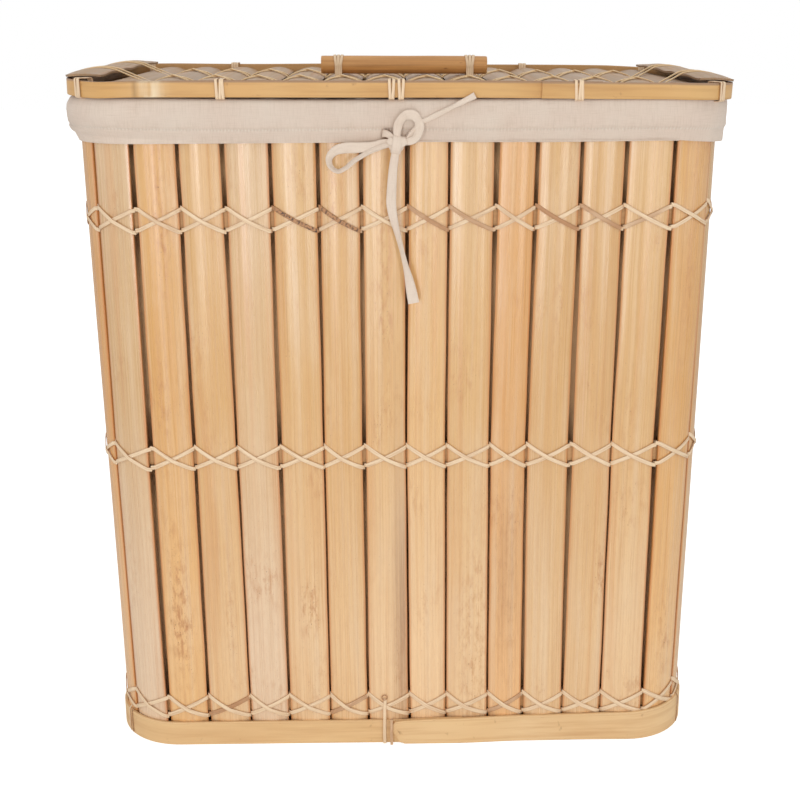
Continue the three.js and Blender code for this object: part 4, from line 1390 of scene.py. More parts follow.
    def hanging(self, x: float, side: int, top: float, width: float, stain: float = 0.12) -> Object:
        """Hangs a strand over the base band.

        Args:
            x: Where it hangs.
            side: 1 for the front and -1 for the back.
            top: Its upper end's height.
            width: Its width.
            stain: How brown it is.

        Returns:
            The strand.
        """
        wall_y = self.wall.outline(top).y + 0.0010
        layers = 2 if x > self.tie_shift else 1
        band_y = self.wall.outline(0.0).y + layers * self.base_thickness + 0.0025
        line = [(x + 0.0008, wall_y, top), (x + 0.0003, wall_y + 0.0004, top - 0.006),
                (x, band_y - 0.0006, 0.0265), (x, band_y, 0.0215), (x - 0.0002, band_y, 0.012),
                (x, band_y, 0.0008)]
        path = through([(side * px, -side * py, pz) for px, py, pz in line], 0.0012)
        return strand("strand", path, (0, -side, 0.12), width, 0.0011, sides=10, flat=0.7, stain=stain)

    def base_ties(self) -> None:
        """Ties the base band at the middle of the front and the back, each tie with a small ring."""
        ring_y, ring_z, radius = self.wall.outline(0.045).y + 0.0015, 0.0452, 0.0024
        for side, label in ((1, "front"), (-1, "back")):
            parts = [self.hanging(self.tie_shift, side, 0.0440, 0.0031)]
            if side > 0:
                parts.append(self.hanging(self.second_shift, side, 0.0205, 0.0026, 0.5))
            ring = [(side * (self.tie_shift + radius * math.cos(a)), -side * ring_y,
                     ring_z + radius * math.sin(a)) for a in np.linspace(0, TURN, 13)[:-1]]
            parts.append(strand("strand", through(ring, 0.0008, closed=True), (0, -side, 0), 0.0010, 0.0010,
                                closed=True, flat=1.0, stain=0.75))
            dress(joined(f"base_{label}_tie_rattan", parts), self.finishes.rattan, "basket", "rattan",
                  f"base_{label}_tie")

    def windings(self) -> None:
        """Winds thin strands over the base band near its corners."""
        strands = []
        for share, width, lift in ((-0.1635, 0.0016, 0.0), (-0.1605, 0.0009, 0.0), (0.1668, 0.0009, 0.0045),
                                   (0.3335, 0.0014, 0.0), (-0.3335, 0.0014, 0.0)):
            place = self.wall.outline(0.012).grown(self.base_thickness + 0.0007).place(share, 0.0)
            path = through([place.point + place.out * out + UP * z for out, z in (
                (-0.0022, 0.0262 + lift), (0.0, 0.0238 + lift), (0.0004, 0.015), (0.0, 0.0012))], 0.0012)
            strands.append(strand("strand", path, place.out, width, 0.0007, flat=0.8,
                                  stain=0.9 if width < 0.001 else 0.35))
        dress(joined("base_corner_windings", strands), self.finishes.rattan, "basket", "rattan")

    def carried_over(self, nodes: dict[str, Object]) -> None:
        """Gives the basket's solids that stay their finishes.

        Args:
            nodes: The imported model's nodes.
        """
        hoops = [f"{row.name.lower()}_inner_hoop" for row in Row]
        for name in (*hoops, "rim_outer_band", "floor_panel"):
            materials = nodes[name].data.materials
            materials.clear()
            materials.append(self.finishes.floor if name == "floor_panel" else self.finishes.hoop)

    def build(self, nodes: dict[str, Object]) -> None:
        """Makes the basket's pieces in order.

        Args:
            nodes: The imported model's nodes.
        """
        self.strips()
        self.lashings()
        self.base_band()
        self.base_ties()
        self.windings()
        self.carried_over(nodes)


# The liner


@dataclass
class Drawstring:
    """The cotton tape, tied in a bow: a knot, two loops and two tails."""

    finishes: Finishes
    width: float = 0.008
    thickness: float = 0.0013
    step: float = 0.0011
    back: float = 0.17418
    front: float = 0.17658
    knot: Vec = (-0.0028, -0.1768, 0.548)

    def routes(self) -> dict[str, tuple[list[Vec], list[float], list[float], str, float]]:
        """Lists the tape's stretches.

        Returns:
            For each: its route, its widths and rolls at even shares of it, its far end and its stated width.
        """
        b, f = self.back, self.front
        stretches = {
            "left_loop": (
                [(-.0052, b, .5508), (-.010, b, .5503), (-.0152, b, .5494), (-.022, b, .547),
                 (-.0337, b, .5457), (-.046, b, .5453), (-.053, b, .543), (-.0575, b, .5375),
                 (-.0566, b, .5307), (-.051, .175, .5268), (-.0448, .176, .5292), (-.0361, f, .5361),
                 (-.0238, f, .543), (-.015, f, .5464), (-.010, f, .5478), (-.0052, f, .549)],
                [.0036, .0052, .0078, .0090, .0086, .0066, .0056, .0052, .0048, .0046, .0046, .0036],
                [10, 0, 0, -5, -15, -35, -60, -58, -52, -48, -30, -20], "object", self.width),
            "ring_loop": (
                [(-.0022, f, .5525), (-.0024, f, .5585), (-.0006, .1771, .5662), (.0052, .1775, .5716),
                 (.0112, .1772, .5712), (.0153, f, .5656), (.0152, f, .5588), (.0124, f, .5532),
                 (.0078, f, .5507), (.0022, f, .5500)],
                [.0050, .0068, .0080, .0086, .0084, .0078, .0080, .0078, .0064, .0046],
                [12, -14, 26, 34, 8, -24, 18, 30, 6, 12], "object", self.width),
            "long_tail": (
                [(-.0036, f, .5445), (-.0045, f, .5380), (-.0057, .1752, .5300), (-.0067, .1737, .5190),
                 (-.0074, .1725, .5073), (-.0076, .172, .5000), (-.0068, .1719, .4930),
                 (-.0052, .1719, .4850), (-.0004, .1719, .4663), (.0030, .1719, .4520),
                 (.0062, .1719, .4390), (.0106, .1719, .4161)],
                [.0062, .0070, .0074, .0078, .0082, .0076, .0062, .0052, .0042, .0052, .0072, .0088, .0092],
                [5, 0, -4, -8, -2, 16, 34, 44, 50, 36, 16, 4, 0], "bare", self.width),
            "short_tail": (
                [(.0061, b, .5516), (.010, b, .5574), (.017, .1749, .5652), (.0268, .1752, .5702),
                 (.0417, .1763, .5776), (.050, .177, .5817), (.0602, .1774, .5868)],
                [.0052, .0046, .0042, .0044, .0040, .0036, .0042, .0056],
                [20, 45, 30, 20, 35, 20, 10, 0], "bare", 0.005),
        }
        return {name: ([(x, -y, z) for x, y, z in route], *rest)
                for name, (route, *rest) in stretches.items()}

    def build(self) -> None:
        """Lays the tape's stretches and winds its knot."""
        for name, (route, widths, rolls, end, size) in self.routes().items():
            path = through(route, self.step)
            share = np.linspace(0, 1, len(path))
            width, roll = (np.interp(share, np.linspace(0, 1, len(levels)), levels)
                           for levels in (widths, rolls))
            width = width + 0.0003 * Waves(len(path), (1.0, 0.35), 5).at(np.zeros(len(path)), share)
            thickness = self.thickness * (1 + 0.9 * ramp(-width, -0.0072, 0.003))
            piece = strand(f"tape_{name}_cotton", path, (0, -1, 0.15), width, thickness, roll=roll, sides=14,
                           flat=0.45, shade=0.0)
            dress(piece, self.finishes.tape, "liner", "cotton", f"tape_{name}")
        self.wind_knot()

    def wind_knot(self) -> None:
        """Winds the knot from three turns of tape and the short stretch that comes out of the casing."""
        x, y, z = self.knot
        turns = []
        for tilt, width, deep, high, shift in (
                (10.0, 0.0084, 0.0036, 0.0064, 0.0), (58.0, 0.0068, 0.0032, 0.0070, 0.0014),
                (-50.0, 0.0060, 0.0028, 0.0064, -0.0014)):
            axis_up = np.array((math.sin(math.radians(tilt)), 0.0, math.cos(math.radians(tilt))))
            angles = np.linspace(0, TURN, 28, endpoint=False)
            up, out = np.outer(np.cos(angles), axis_up), np.outer(np.sin(angles), (0, 1, 0))
            path = np.array((x + shift, y, z)) + up * high + out * deep
            turns.append(strand("turn", path, up / high + out / deep, width, 0.0019, closed=True, sides=14,
                                flat=0.55, shade=0.0))
        line = through([(-0.0138, -0.1700, 0.5566), (-0.0118, -0.1726, 0.5567), (-0.0088, -0.1754, 0.5556),
                        (-0.0058, -0.1768, 0.5530), (-0.0036, -0.1772, 0.5508)], 0.001)
        turns.append(strand("turn", line, (-0.3, -1, 0.2), np.linspace(0.0062, 0.0046, len(line)), 0.0016,
                            roll=np.linspace(0, 40, len(line)), sides=14, flat=0.5, shade=0.0))
        dress(joined("tape_knot_cotton", turns), self.finishes.tape, "liner", "cotton", "tape_knot")


@dataclass
class Liner:
    """The cotton liner: two bags that hang in the basket and the cuff that is folded over its rim."""

    wall: Wall
    finishes: Finishes
    cuff_top: float = 0.5837
    hem: float = 0.0345
    cloth: float = 0.0009
    casing: float = 0.0108
    stretch: float = 0.0071
    inset: float = 0.0133
    skirt: float = 0.0120
    around: int = 700
    bag_around: int = 150
    bag_down: int = 58
    bag_bottom: float = 0.0085
    # How far the cuff stands out at its two ends, in millimetres, at these drops below its top.
    left_fullness: tuple[tuple[float, ...], ...] = (
        (3, 10, 18, 23.5, 26.5, 30, 33.5, 34.5), (2.5, 3.4, 3.8, 4.6, 5.4, 5.2, 2.6, 1.4))
    right_fullness: tuple[tuple[float, ...], ...] = (
        (18, 23.5, 26.5, 30, 33.5, 34.5), (0, 1.8, 2.0, 2.9, 4.0, 3.6))

    def fold(self) -> tuple[Array, Array, Array]:
        """Draws the cuff's fold, from its skirt in the basket up over the rim and down to its hem.

        Returns:
            How far its points lie outside the wall, their heights, and how far down the cloth they lie.
        """
        inner, outer = -self.inset, self.stretch
        corners = (
            (inner - 0.0009, -self.skirt), (inner - 0.0009, -0.006), (inner - 0.0004, -0.0015),
            (inner + 0.0016, 0.0001), (-0.006, -0.0001), (0.001, 0.0001), (0.0042, -0.0004),
            (0.0060, -0.0022),
            (outer - 0.0003, -0.006), (outer, -0.011), (outer - 0.0002, -0.0165), (outer - 0.0010, -0.0205),
            (outer - 0.0022, -0.0235), (outer - 0.0029, -0.0265), (outer - 0.0040, -0.0300),
            (outer - 0.0054, 0.0010 - self.hem), (outer - 0.0058, -self.hem))
        line = through([(offset, 0.0, self.cuff_top + height) for offset, height in corners], 0.00095)
        return line[:, 0], line[:, 2], walk(line)

    def cuff(self) -> None:
        """Folds the cuff over the rim, with its casing, stitches, puckers and the seam of the divider."""
        offsets, heights, down = self.fold()
        outline = self.wall.outline(self.wall.rim)
        length = outline.grown(self.stretch).around()
        shares = np.linspace(0, 1, self.around + 1)
        s = shares[:, None] * length
        ends = np.minimum(s, length - s)
        drop = self.cuff_top - heights
        outer = (offsets > 0.002) * ramp(drop, 0, 0.006)
        outside = ramp(offsets, -self.inset, 0.004)
        seam = self.cuff_top - self.hem + self.casing
        groove = bump(heights, seam, 0.0009) * outer
        closing = eased(ends / 0.02)
        fine = 0.00022 + 0.0004 * bump(heights, seam, 0.0045) + 0.0005 * bump(ends, 0, 0.05)
        wave = 0.0007 * Waves(11, (0.16, 0.05), 12).at(s, drop)
        wave = wave + fine * Waves(12, (0.022, 0.05), 16).at(s, drop)
        wave = wave * closing * outer - 0.0007 * groove
        sag = 0.0011 * Waves(21, (0.30, 1.0), 8).at(s, np.zeros_like(s)) * closing - 0.0006
        points = np.empty((len(shares), len(offsets), 3))
        for i, share in enumerate(shares):
            place = outline.place(float(share), 0.0)
            x = place.point[0]
            inward = 0.0010 * (1.0 if x > 0 else 0.2) * ramp(-heights, -seam, 0.001)
            fullness = MM * (np.interp(drop / MM, *self.left_fullness) * ramp(-x, 0.215, 0.05)
                             + np.interp(drop / MM, *self.right_fullness) * ramp(x, 0.215, 0.05))
            reach = offsets + wave[i] + (fullness - inward) * outer
            hem = 0.0046 * ramp(-x, 0.12, 0.15) - 0.0016 * ramp(x, 0.02, 0.1) - 0.0040 * ramp(x, 0.225, 0.04)
            crest = 0.0028 * ramp(-x, 0.06, 0.20) * (1 - ramp(drop, 0, 0.014)) * outside
            points[i] = place.point + np.outer(reach, place.out)
            points[i, :, 2] = heights + (sag[i] + hem) * ramp(drop, 0.012, 0.02) * outer + crest
        slit = bump(s, length - 0.0115, 0.0038, 4) * bump(heights, seam - 0.0047, 0.0056, 4)
        points[..., 1] += 0.0020 * slit * outer
        stitches = bump(ends, 0.0006, 0.0005) * (drop > 0.004) * (drop < 0.0165)
        stitches = stitches * (np.sin(TURN * drop / 0.0024) > 0)
        # Painted shade: the shade value darkens the casing's opening, where the tape comes out, and the
        # divider seam's stitch dots, standing in for the shade inside these small recesses.
        piece = bent_grid("liner_cuff_cotton", points, (s[:, 0], down), stitch=groove,
                          shade=np.clip(slit * 0.95 + 0.30 * stitches, 0, 1) * outer)
        corners = piece.data.uv_layers["metres"].data
        corners.foreach_set("uv", read(corners, "uv", 2)[:, ::-1].ravel())
        thicken(piece, self.cloth)
        dress(smooth(piece, 70), self.finishes.cuff, "liner", "cotton", "liner_cuff")

    def bag(self, side: int) -> None:
        """Hangs one bag: its mouth is sewn to the cuff, its sides sag in folds, its bottom lies on the floor.

        Args:
            side: -1 for the left bag and 1 for the right one.
        """
        top, bottom = self.cuff_top - self.skirt - 0.0004, self.bag_bottom
        foot = bottom + 0.02
        rows = []
        for z in np.linspace(top, foot, self.bag_down):
            hang = math.sin(min((top - z) / (top - bottom), 1.0) * math.pi)
            near = min(abs(z - hoop) for hoop in (0.574, *(row.value[0] for row in Row)))
            inset = self.inset + 0.0012 - 0.0056 * float(ramp(near, 0.014, 0.030)) * min(4 * hang, 1)
            rows.append(self.half_plan(side, z, inset, top - z))
        lowest, middle = rows[-1], np.array((side * 0.118, 0.0))
        for share, fall in ((0.998, 0.009), (0.985, 0.0165), (0.955, 0.0193), (0.7, 0.0198), (0.3, 0.0199)):
            rows.append(np.column_stack((middle + (lowest[:, :2] - middle) * share,
                                         np.full(len(lowest), foot - fall))))
        points = np.array(rows)
        rim = walk(points[0])
        name = "left" if side < 0 else "right"
        piece = bent_grid(f"liner_{name}_bag_cotton", points, (walk(points[:, 0]), rim))
        bpy.ops.object.mode_set(mode="EDIT")
        work = bmesh.from_edit_mesh(piece.data)
        for edge in work.edges:
            edge.select_set(edge.is_boundary and max(v.co.z for v in edge.verts) < 0.05)
        bmesh.update_edit_mesh(piece.data)
        bpy.ops.mesh.edge_face_add()
        bpy.ops.mesh.poke()
        bpy.ops.mesh.select_all(action="SELECT")
        bpy.ops.mesh.normals_make_consistent(inside=False)
        bpy.ops.object.mode_set(mode="OBJECT")
        outside = len(piece.data.vertices)
        thicken(piece, self.cloth)
        # Painted shade: the bag's outer layer is multiplied by its warm shade colour, for the dim, warm light
        # that shows through the gaps between the strips; the inner layer keeps the cloth's colour.
        paint(piece, "shade", np.where(np.arange(len(piece.data.vertices)) < outside, 1.0, 0.0))
        dress(smooth(piece, 60), self.finishes.bag, "liner", "cotton", f"liner_{name}_bag")

    def half_plan(self, side: int, z: float, inset: float, drop: float) -> Array:
        """Draws one bag's plan at a height, with the folds that the cloth hangs in.

        Args:
            side: -1 for the left bag and 1 for the right one.
            z: The height.
            inset: How far it lies inside the wall.
            drop: How far below the mouth it is.

        Returns:
            The plan's points, the first repeated at the end.
        """
        outline = self.wall.outline(z).grown(-inset)
        half = (outline.x - 0.0012) / 2
        shares = np.linspace(0, 1, self.bag_around + 1)
        bag = Outline(half, outline.y, max(outline.r, 0.03))
        divider = Outline(half, outline.y, 0.004 + 0.016 * min(drop / 0.06, 1.0))
        places = [bag.place(float(share), z) for share in shares]
        points, outs = np.array([place.point for place in places]), np.array([place.out for place in places])
        inner = side * points[:, 0] < -half + bag.r
        points[inner] = np.array([divider.place(float(share), z).point for share in shares])[inner]
        s = shares * bag.around()
        folds = Waves(31 + side, (0.085, 9.0), 10).at(s, np.full_like(s, drop))
        depth = 0.0016 * min(drop / 0.25, 1.0) * (1 + folds) / 1.6 * eased(np.minimum(s, s[-1] - s) / 0.02)
        points = points - outs * depth[:, None]
        points[:, 0] += side * (half + 0.0010)
        return points

    def build(self) -> None:
        """Makes the cuff and the two bags."""
        self.cuff()
        for side in (-1, 1):
            self.bag(side)


# The lid


@dataclass
class Lid:
    """The lid: its band, strips, hoop and bars, its side strips, ties, lashings and handle."""

    wall: Wall
    finishes: Finishes
    bottom: float = 0.5855
    band_top: float = 0.5998
    band_thickness: float = 0.005
    band_start: float = 0.1125
    band_lap: float = 0.05
    band_steps: int = 560
    outline: Outline = Outline(0.280, 0.175, 0.061)
    cane: Cane = Cane(rise=0.0048, thickness=0.0022)
    side_cane: Cane = Cane(rise=0.0028, thickness=0.0018)
    side_tilt: float = -1.5
    crown: float = 0.5966
    sunk: float = 0.0004
    strip_count: int = 14
    pitch: float = 0.0371
    row_offset: float = 0.062
    hoop_height: float = 0.0056
    hoop_thickness: float = 0.006
    bar_bottom: float = 0.5860
    bar_top: float = 0.5905
    bar_width: float = 0.014
    tie_strand: float = 0.0025
    strand_thickness: float = 0.0009
    rod_radius: float = 0.00815
    rod_length: float = 0.153
    rod_shift: float = 0.0046
    rod_tie_spacing: float = 0.121
    sag: float = 0.0008
    lean: float = 0.0022
    slip: float = 0.0012
    bends: tuple[float, ...] = (0.05, 0.22)
    droop: float = 0.0016
    node_x: float = -0.213
    pieces: list[Object] = field(default_factory=list)

    def finish(self, piece: Object, name: str, material: Material, slot: str, *nodes: str) -> None:
        """Names a piece of the lid and dresses it.

        Args:
            piece: The piece.
            name: Its name.
            material: Its finish.
            slot: The slot of its finish, passed on to dress.
            *nodes: The solids that it replaces.
        """
        piece.name = piece.data.name = name
        self.pieces.append(dress(piece, material, "lid", slot, *nodes))

    def band(self) -> None:
        """Makes the outer band, lapped on the right of its front, with a node of the cane on the left."""
        around = self.outline.grown(-self.band_thickness / 2).around()
        walked = np.linspace(0, around + self.band_lap, self.band_steps)
        path, faces = [], []
        for s in walked:
            offset = 0.0007 * (1 - ramp(s, 0.04, 0.05)) - 0.0014 * ramp(s, around - 0.01, 0.01)
            outline = self.outline.grown(offset - self.band_thickness / 2)
            place = outline.place((self.band_start + s) / around, 0.0)
            path.append(place.point)
            faces.append(place.out)
        path, faces = np.array(path), np.array(faces)
        x, front = path[:, 0], path[:, 1] < 0
        drift = Waves(41, (1.0, 0.22), 6).at(np.zeros(len(path)), walked)
        height = self.band_top - self.bottom - 0.0008 + 0.0004 * drift
        middle = (self.band_top + self.bottom) / 2 + 0.0003 * drift - 0.0012 * bump(x, -0.247, 0.018) * front
        path = path + faces * (0.0006 * bump(x, self.node_x, 0.006) * front)[:, None] + np.outer(middle, UP)
        piece = strand("band", path, faces, height, self.band_thickness - 0.0012, sides=24, flat=0.2,
                       mark=0.55 * bump(x, self.node_x, 0.0016) * front, wear=0.0,
                       bleach=bump(x, self.node_x + 0.012, 0.009) * front)
        self.grey_cut_faces_and_shaded_top(piece)
        self.finish(piece, "lid_outer_band_bamboo", self.finishes.lid_band, "band", "lid_outer_band")

    def grey_cut_faces_and_shaded_top(self, piece: Object) -> None:
        """Greys the band's edges and inside, where the cane's wall shows instead of its skin, and paints
        shade on its top.

        Args:
            piece: The band.
        """
        points, normals = (read(piece.data.vertices, key, 3) for key in ("co", "normal"))
        back = points[:, 1] > 0.1
        inside = self.outline.outside(points) < -0.0028
        # Painted shade: the band's rounded top, its upper couple of millimetres, takes the grey-brown cut
        # colour too; the back takes less of all this.
        high = ramp(points[:, 2], self.band_top - 0.0024, 0.0008)
        wear = np.maximum(np.where(inside, 0.85, 0.0), high * 0.95) * np.where(back, 0.3, 1.0)
        wear = np.maximum(wear, ramp(np.abs(normals[:, 2]), 0.5, 0.3) * np.where(back, 0.3, 0.9))
        piece.data.attributes["wear"].data.foreach_set("value", wear)

    def strips(self) -> None:
        """Makes the strips that run from front to back, the hoop that carries them and the two bars."""
        inner = self.outline.grown(-self.band_thickness - 0.0003)
        across, high, wear = self.cane.ring()
        rng = np.random.default_rng(17)
        tints = (Tint.PALE, Tint.PALE, Tint.LIGHT, Tint.OLIVE)
        along = np.linspace(-1, 1, 33)
        pieces = []
        for i in range(self.strip_count):
            middle = self.wall.strip_shift + (i - self.strip_count / 2 + 0.5) * self.pitch
            width = 1 + rng.uniform(-0.03, 0.04)
            bow, roll = rng.uniform(-0.0006, 0.0006), rng.uniform(-0.05, 0.05)
            points = np.empty((len(along), len(across), 3))
            points[..., 0] = middle + across * width + bow * np.sin(2 * along)[:, None]
            points[..., 1] = inner.reach_y(points[..., 0]) * along[:, None]
            points[..., 2] = self.crown + high + across * roll - self.sunk
            # Painted shade and reflection: the tint is darkened to 0.60-0.74 and mixed a third of the way to
            # grey, for the lid top's shade and the pale surround's reflection on it.
            tint = np.array(tints[int(rng.integers(len(tints)))].value) * rng.uniform(0.60, 0.74)
            tint = tint * 0.65 + np.array(linear(174, 154, 138)) * 0.35
            offset = rng.uniform(0, 9, 2)
            pieces.append(smooth(bent_grid(
                "strip", points, (along * self.outline.y + offset[0], across + offset[1]), fill=True,
                tint=tint, wear=wear, smear=0.1)))
        self.finish(joined("lid_strips", pieces), "lid_strips", self.finishes.lid_skin, "bamboo",
                    "lid_inner_hoop_with_strips")
        low, high = self.bottom + 0.0002, self.bottom + self.hoop_height - 0.0022
        hoop = flat_hoop(inner, self.hoop_thickness, low, high)
        self.finish(hoop, "lid_inner_hoop", self.finishes.hoop, "bamboo")
        reach = self.outline.x - self.band_thickness - self.hoop_thickness - 0.0006
        for side, name in ((-1, "front"), (1, "back")):
            path = np.zeros((60, 3))
            path[:, 0] = np.linspace(-reach, reach, len(path))
            path[:, 1:] = side * self.row_offset, (self.bar_bottom + self.bar_top) / 2
            bar = strand("bar", path, UP, self.bar_width, self.bar_top - self.bar_bottom, sides=16, flat=0.2)
            self.finish(bar, f"lid_{name}_bar_bamboo", self.finishes.hoop, "bamboo", f"lid_{name}_bar")

    def side_place(self, side: int, y: float) -> Place:
        """Finds the crown of a side strip.

        Args:
            side: -1 for the left strip and 1 for the right one.
            y: How far back it is looked for.

        Returns:
            The place of the crown.
        """
        tilt = math.radians(self.side_tilt)
        along = np.array((-side * math.cos(tilt), 0.0, -math.sin(tilt)))
        out = np.array((-side * math.sin(tilt), 0.0, math.cos(tilt)))
        point = np.array((side * self.outline.x, y, self.band_top + 0.0001))
        point = point + along * self.side_cane.width / 2 + out * self.side_cane.depth
        ripple = 0.0005 * math.cos(TURN * (abs(y) - self.row_offset) / self.row_offset)
        return Place(point - out * ripple, along, out, self.side_cane.width)

    def side_strips(self) -> None:
        """Lays a strip on top of the band at each side, trimmed to the lid's outline."""
        cane, corner = self.side_cane, self.outline.r
        across, high, wear = cane.ring()
        number = np.arange(len(across))
        on_skin = (number < cane.skin_points) | (number == len(across) - 1)
        level = np.where(on_skin, cane.thickness, 0.0) - cane.depth - 0.0010
        share = (across + cane.width / 2) / cane.width
        along = np.linspace(-1, 1, 49)
        for side, name in ((-1, "left"), (1, "right")):
            reach = float(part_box(f"lid_{name}_side_strip")[1].y)
            points = np.empty((len(along), len(across), 3))
            for j, t in enumerate(along):
                place = self.side_place(side, t * reach)
                deep = max(abs(t) * reach - self.outline.y + corner, 0.0)
                trim = corner - math.sqrt(corner**2 - deep**2)
                kept = (trim + share * (cane.width - trim)) - cane.width / 2
                high_at = high + np.sqrt(cane.radius**2 - kept**2) - np.sqrt(cane.radius**2 - across**2)
                high_at += (level - high_at) * min(deep / (0.7 * corner), 1.0) ** 1.5
                points[j] = place.point + np.outer(kept, place.along) + np.outer(high_at, place.out)
            # Painted shade: the side strips take the pale tint darkened to 0.62, like the lid's strips.
            piece = bent_grid("side_strip", points, (along * reach + side * 3.3, across + 2.0), fill=True,
                              tint=np.array(Tint.PALE.value) * 0.62, wear=wear, smear=0.2)
            self.finish(smooth(piece), f"lid_{name}_side_strip_skin", self.finishes.lid_skin, "bamboo",
                        f"lid_{name}_side_strip")

    def wrapped(self, place: Place, offsets: Sequence[float]) -> Object:
        """Winds strands of flat rattan round the lid's edge.

        Args:
            place: The place on the edge.
            offsets: How far along the edge each strand lies from it.

        Returns:
            The tie.
        """
        deep = self.band_thickness + 0.0003 + self.hoop_thickness + 0.0007
        low, high, out, turn = self.bottom - 0.0004, self.band_top + 0.0003, 0.0004, 0.0006
        strands = []
        for k, offset in enumerate(offsets):
            slant = 0.0006 * (k % 2 * 2 - 1)
            corners = [(out, low + turn, 0), (out, low + 0.002, 0), (out, (low + high) / 2, slant / 2),
                       (out, high - 0.002, slant), (out, high - turn, slant), (out - turn, high, slant),
                       (-deep / 2, high, slant), (-deep + turn, high, 0), (-deep, high - turn, 0),
                       (-deep, low + turn, 0), (-deep + turn, low, 0), (out - turn, low, 0)]
            path = through([place.point + place.out * o + UP * z + place.along * (offset + a)
                            for o, z, a in corners], 0.0009, closed=True)
            local = path - (place.point - place.out * deep / 2 + UP * (low + high) / 2)
            face = unit(np.outer((local @ place.out / deep) ** 3, place.out)
                        + np.outer((local[:, 2] / (high - low)) ** 3, UP))
            strands.append(strand("strand", path, face, self.tie_strand, self.strand_thickness, closed=True,
                                  stain=0.1))
        return joined("tie", strands)

    def ties(self) -> None:
        """Winds the ties round the lid's edge."""
        x, y, three = self.outline.x, self.outline.y, (-0.0025, 0.0, 0.0025)
        spots = {
            "front_left": (-0.145, -y, 0, -1, three),
            "front_middle": (-0.004, -y, 0, -1, (-0.0050, -0.0027, 0.0027, 0.0050)),
            "front_right": (0.143, -y, 0, -1, three),
            "back_left": (-0.170, y, 0, 1, three),
            "back_right": (0.131, y, 0, 1, three),
        }
        inset = self.outline.r * (1 - math.sqrt(0.5))
        for side_y, depth in ((-1, "front"), (1, "back")):
            for side_x, end in ((-1, "left"), (1, "right")):
                spot = side_x * (x - inset), side_y * (y - inset), side_x, side_y, three
                spots[f"corner_{depth}_{end}"] = spot
        for name, (spot_x, spot_y, out_x, out_y, offsets) in spots.items():
            out = unit(np.array((out_x, out_y, 0.0)))
            place = Place(np.array((spot_x, spot_y, 0.0)), np.array((-out[1], out[0], 0.0)), out)
            self.finish(self.wrapped(place, offsets), f"lid_{name}_tie_rattan", self.finishes.rattan,
                        "rattan", f"lid_{name}_tie")

    def lashings(self) -> None:
        """Binds the strips to the two bars with crossed strands, which end over the side strips."""
        top = self.crown - self.sunk
        edge = top - self.cane.rise
        depth = edge - self.bar_bottom + self.strand_thickness
        along = np.array((1.0, 0.0, 0.0))
        steps = range(1 - self.strip_count // 2, self.strip_count // 2)
        for name, side in (("front", -1), ("back", 1)):
            y = side * self.row_offset
            gaps, crowns = [], []
            for i in steps:
                gaps.append(Place(np.array((self.wall.strip_shift + i * self.pitch, y, edge)), along, UP))
                middle = np.array((self.wall.strip_shift + (i + 0.5) * self.pitch, y, top))
                crowns.append(self.cane.crown(Place(middle, along, UP, self.cane.width)))
            start, stop = (self.strand_end(s, y) for s in (-1, 1))
            for way in Way:
                points, faces = Lashing(thickness=0.0012, reach=0.0087).rings(
                    crowns[:-1], gaps, [depth] * len(gaps), np.array((0.0, 1.0, 0.0)), way, 0.001, start,
                    stop[::-1])[:2]
                label = f"lid_{name}_{way.name.lower()}_strand"
                self.finish(strand("strand", points, faces, 0.0035, 0.0013, stain=0.12), f"{label}_rattan",
                            self.finishes.lid_rattan, "rattan", label)

    def strand_end(self, side: int, y: float) -> list[Place]:
        """Leads a strand's end over a side strip, from under the band to the strip's inner edge.

        Args:
            side: -1 for the left strip and 1 for the right one.
            y: How far back the strand lies.

        Returns:
            The end's places in order.
        """
        place = self.side_place(side, y)
        outer, low, high = self.outline.x + 0.0007, self.bottom, self.band_top
        ends = [Place(np.array((side * x, y, z)), UP, unit(np.array((side * out_x, 0.0, out_z))))
                for x, z, out_x, out_z in (
                    (outer - 0.006, low - 0.0006, 0.0, -1.0), (outer - 0.0008, low - 0.0005, 0.5, -1.0),
                    (outer, low + 0.001, 1.0, -0.2), (outer, (low + high) / 2, 1.0, 0.0),
                    (outer, high + 0.0006, 1.0, 0.5))]
        crown = self.side_cane.crown(place)
        for share in (-0.85, -0.5, -0.15, 0.2, 0.55, 0.88):
            skin, out = crown(share)
            ends.append(Place(skin + out * self.strand_thickness, UP, out))
        return ends

    def rod(self, centre_z: float) -> None:
        """Makes the handle's rod, a little lumpy, with its ends bevelled.

        Args:
            centre_z: The height of its middle.
        """
        bevel = (0.0, 0.0, 0.0003, 0.0008, 0.0016)
        x = np.concatenate((bevel, np.linspace(0.004, self.rod_length - 0.004, 40),
                            self.rod_length - np.array(bevel[::-1])))
        scale = np.ones(len(x))
        scale[:5] = (0.02, 0.93, 0.967, 0.99, 1.0)
        scale[-5:] = scale[:5][::-1]
        angles = np.linspace(0, TURN, 49)
        lumps = 1 + 0.010 * Waves(51, (0.05, 1.4), 8).at(x[:, None], np.cos(angles)[None, :])
        lumps[:, -1] = lumps[:, 0]
        radii = self.rod_radius * scale[:, None] * lumps
        points = np.empty((len(x), len(angles), 3))
        points[..., 0] = (x - self.rod_length / 2 + self.rod_shift)[:, None]
        points[..., 1] = radii * np.cos(angles)
        points[..., 2] = centre_z + radii * np.sin(angles)
        piece = bent_grid("rod", points, (x + 1.0, angles * self.rod_radius), fill=True, wear=0.0, mark=0.0,
                          bleach=0.0)
        self.finish(smooth(piece), "handle_rod_bamboo", self.finishes.rod, "rod", "handle_rod")

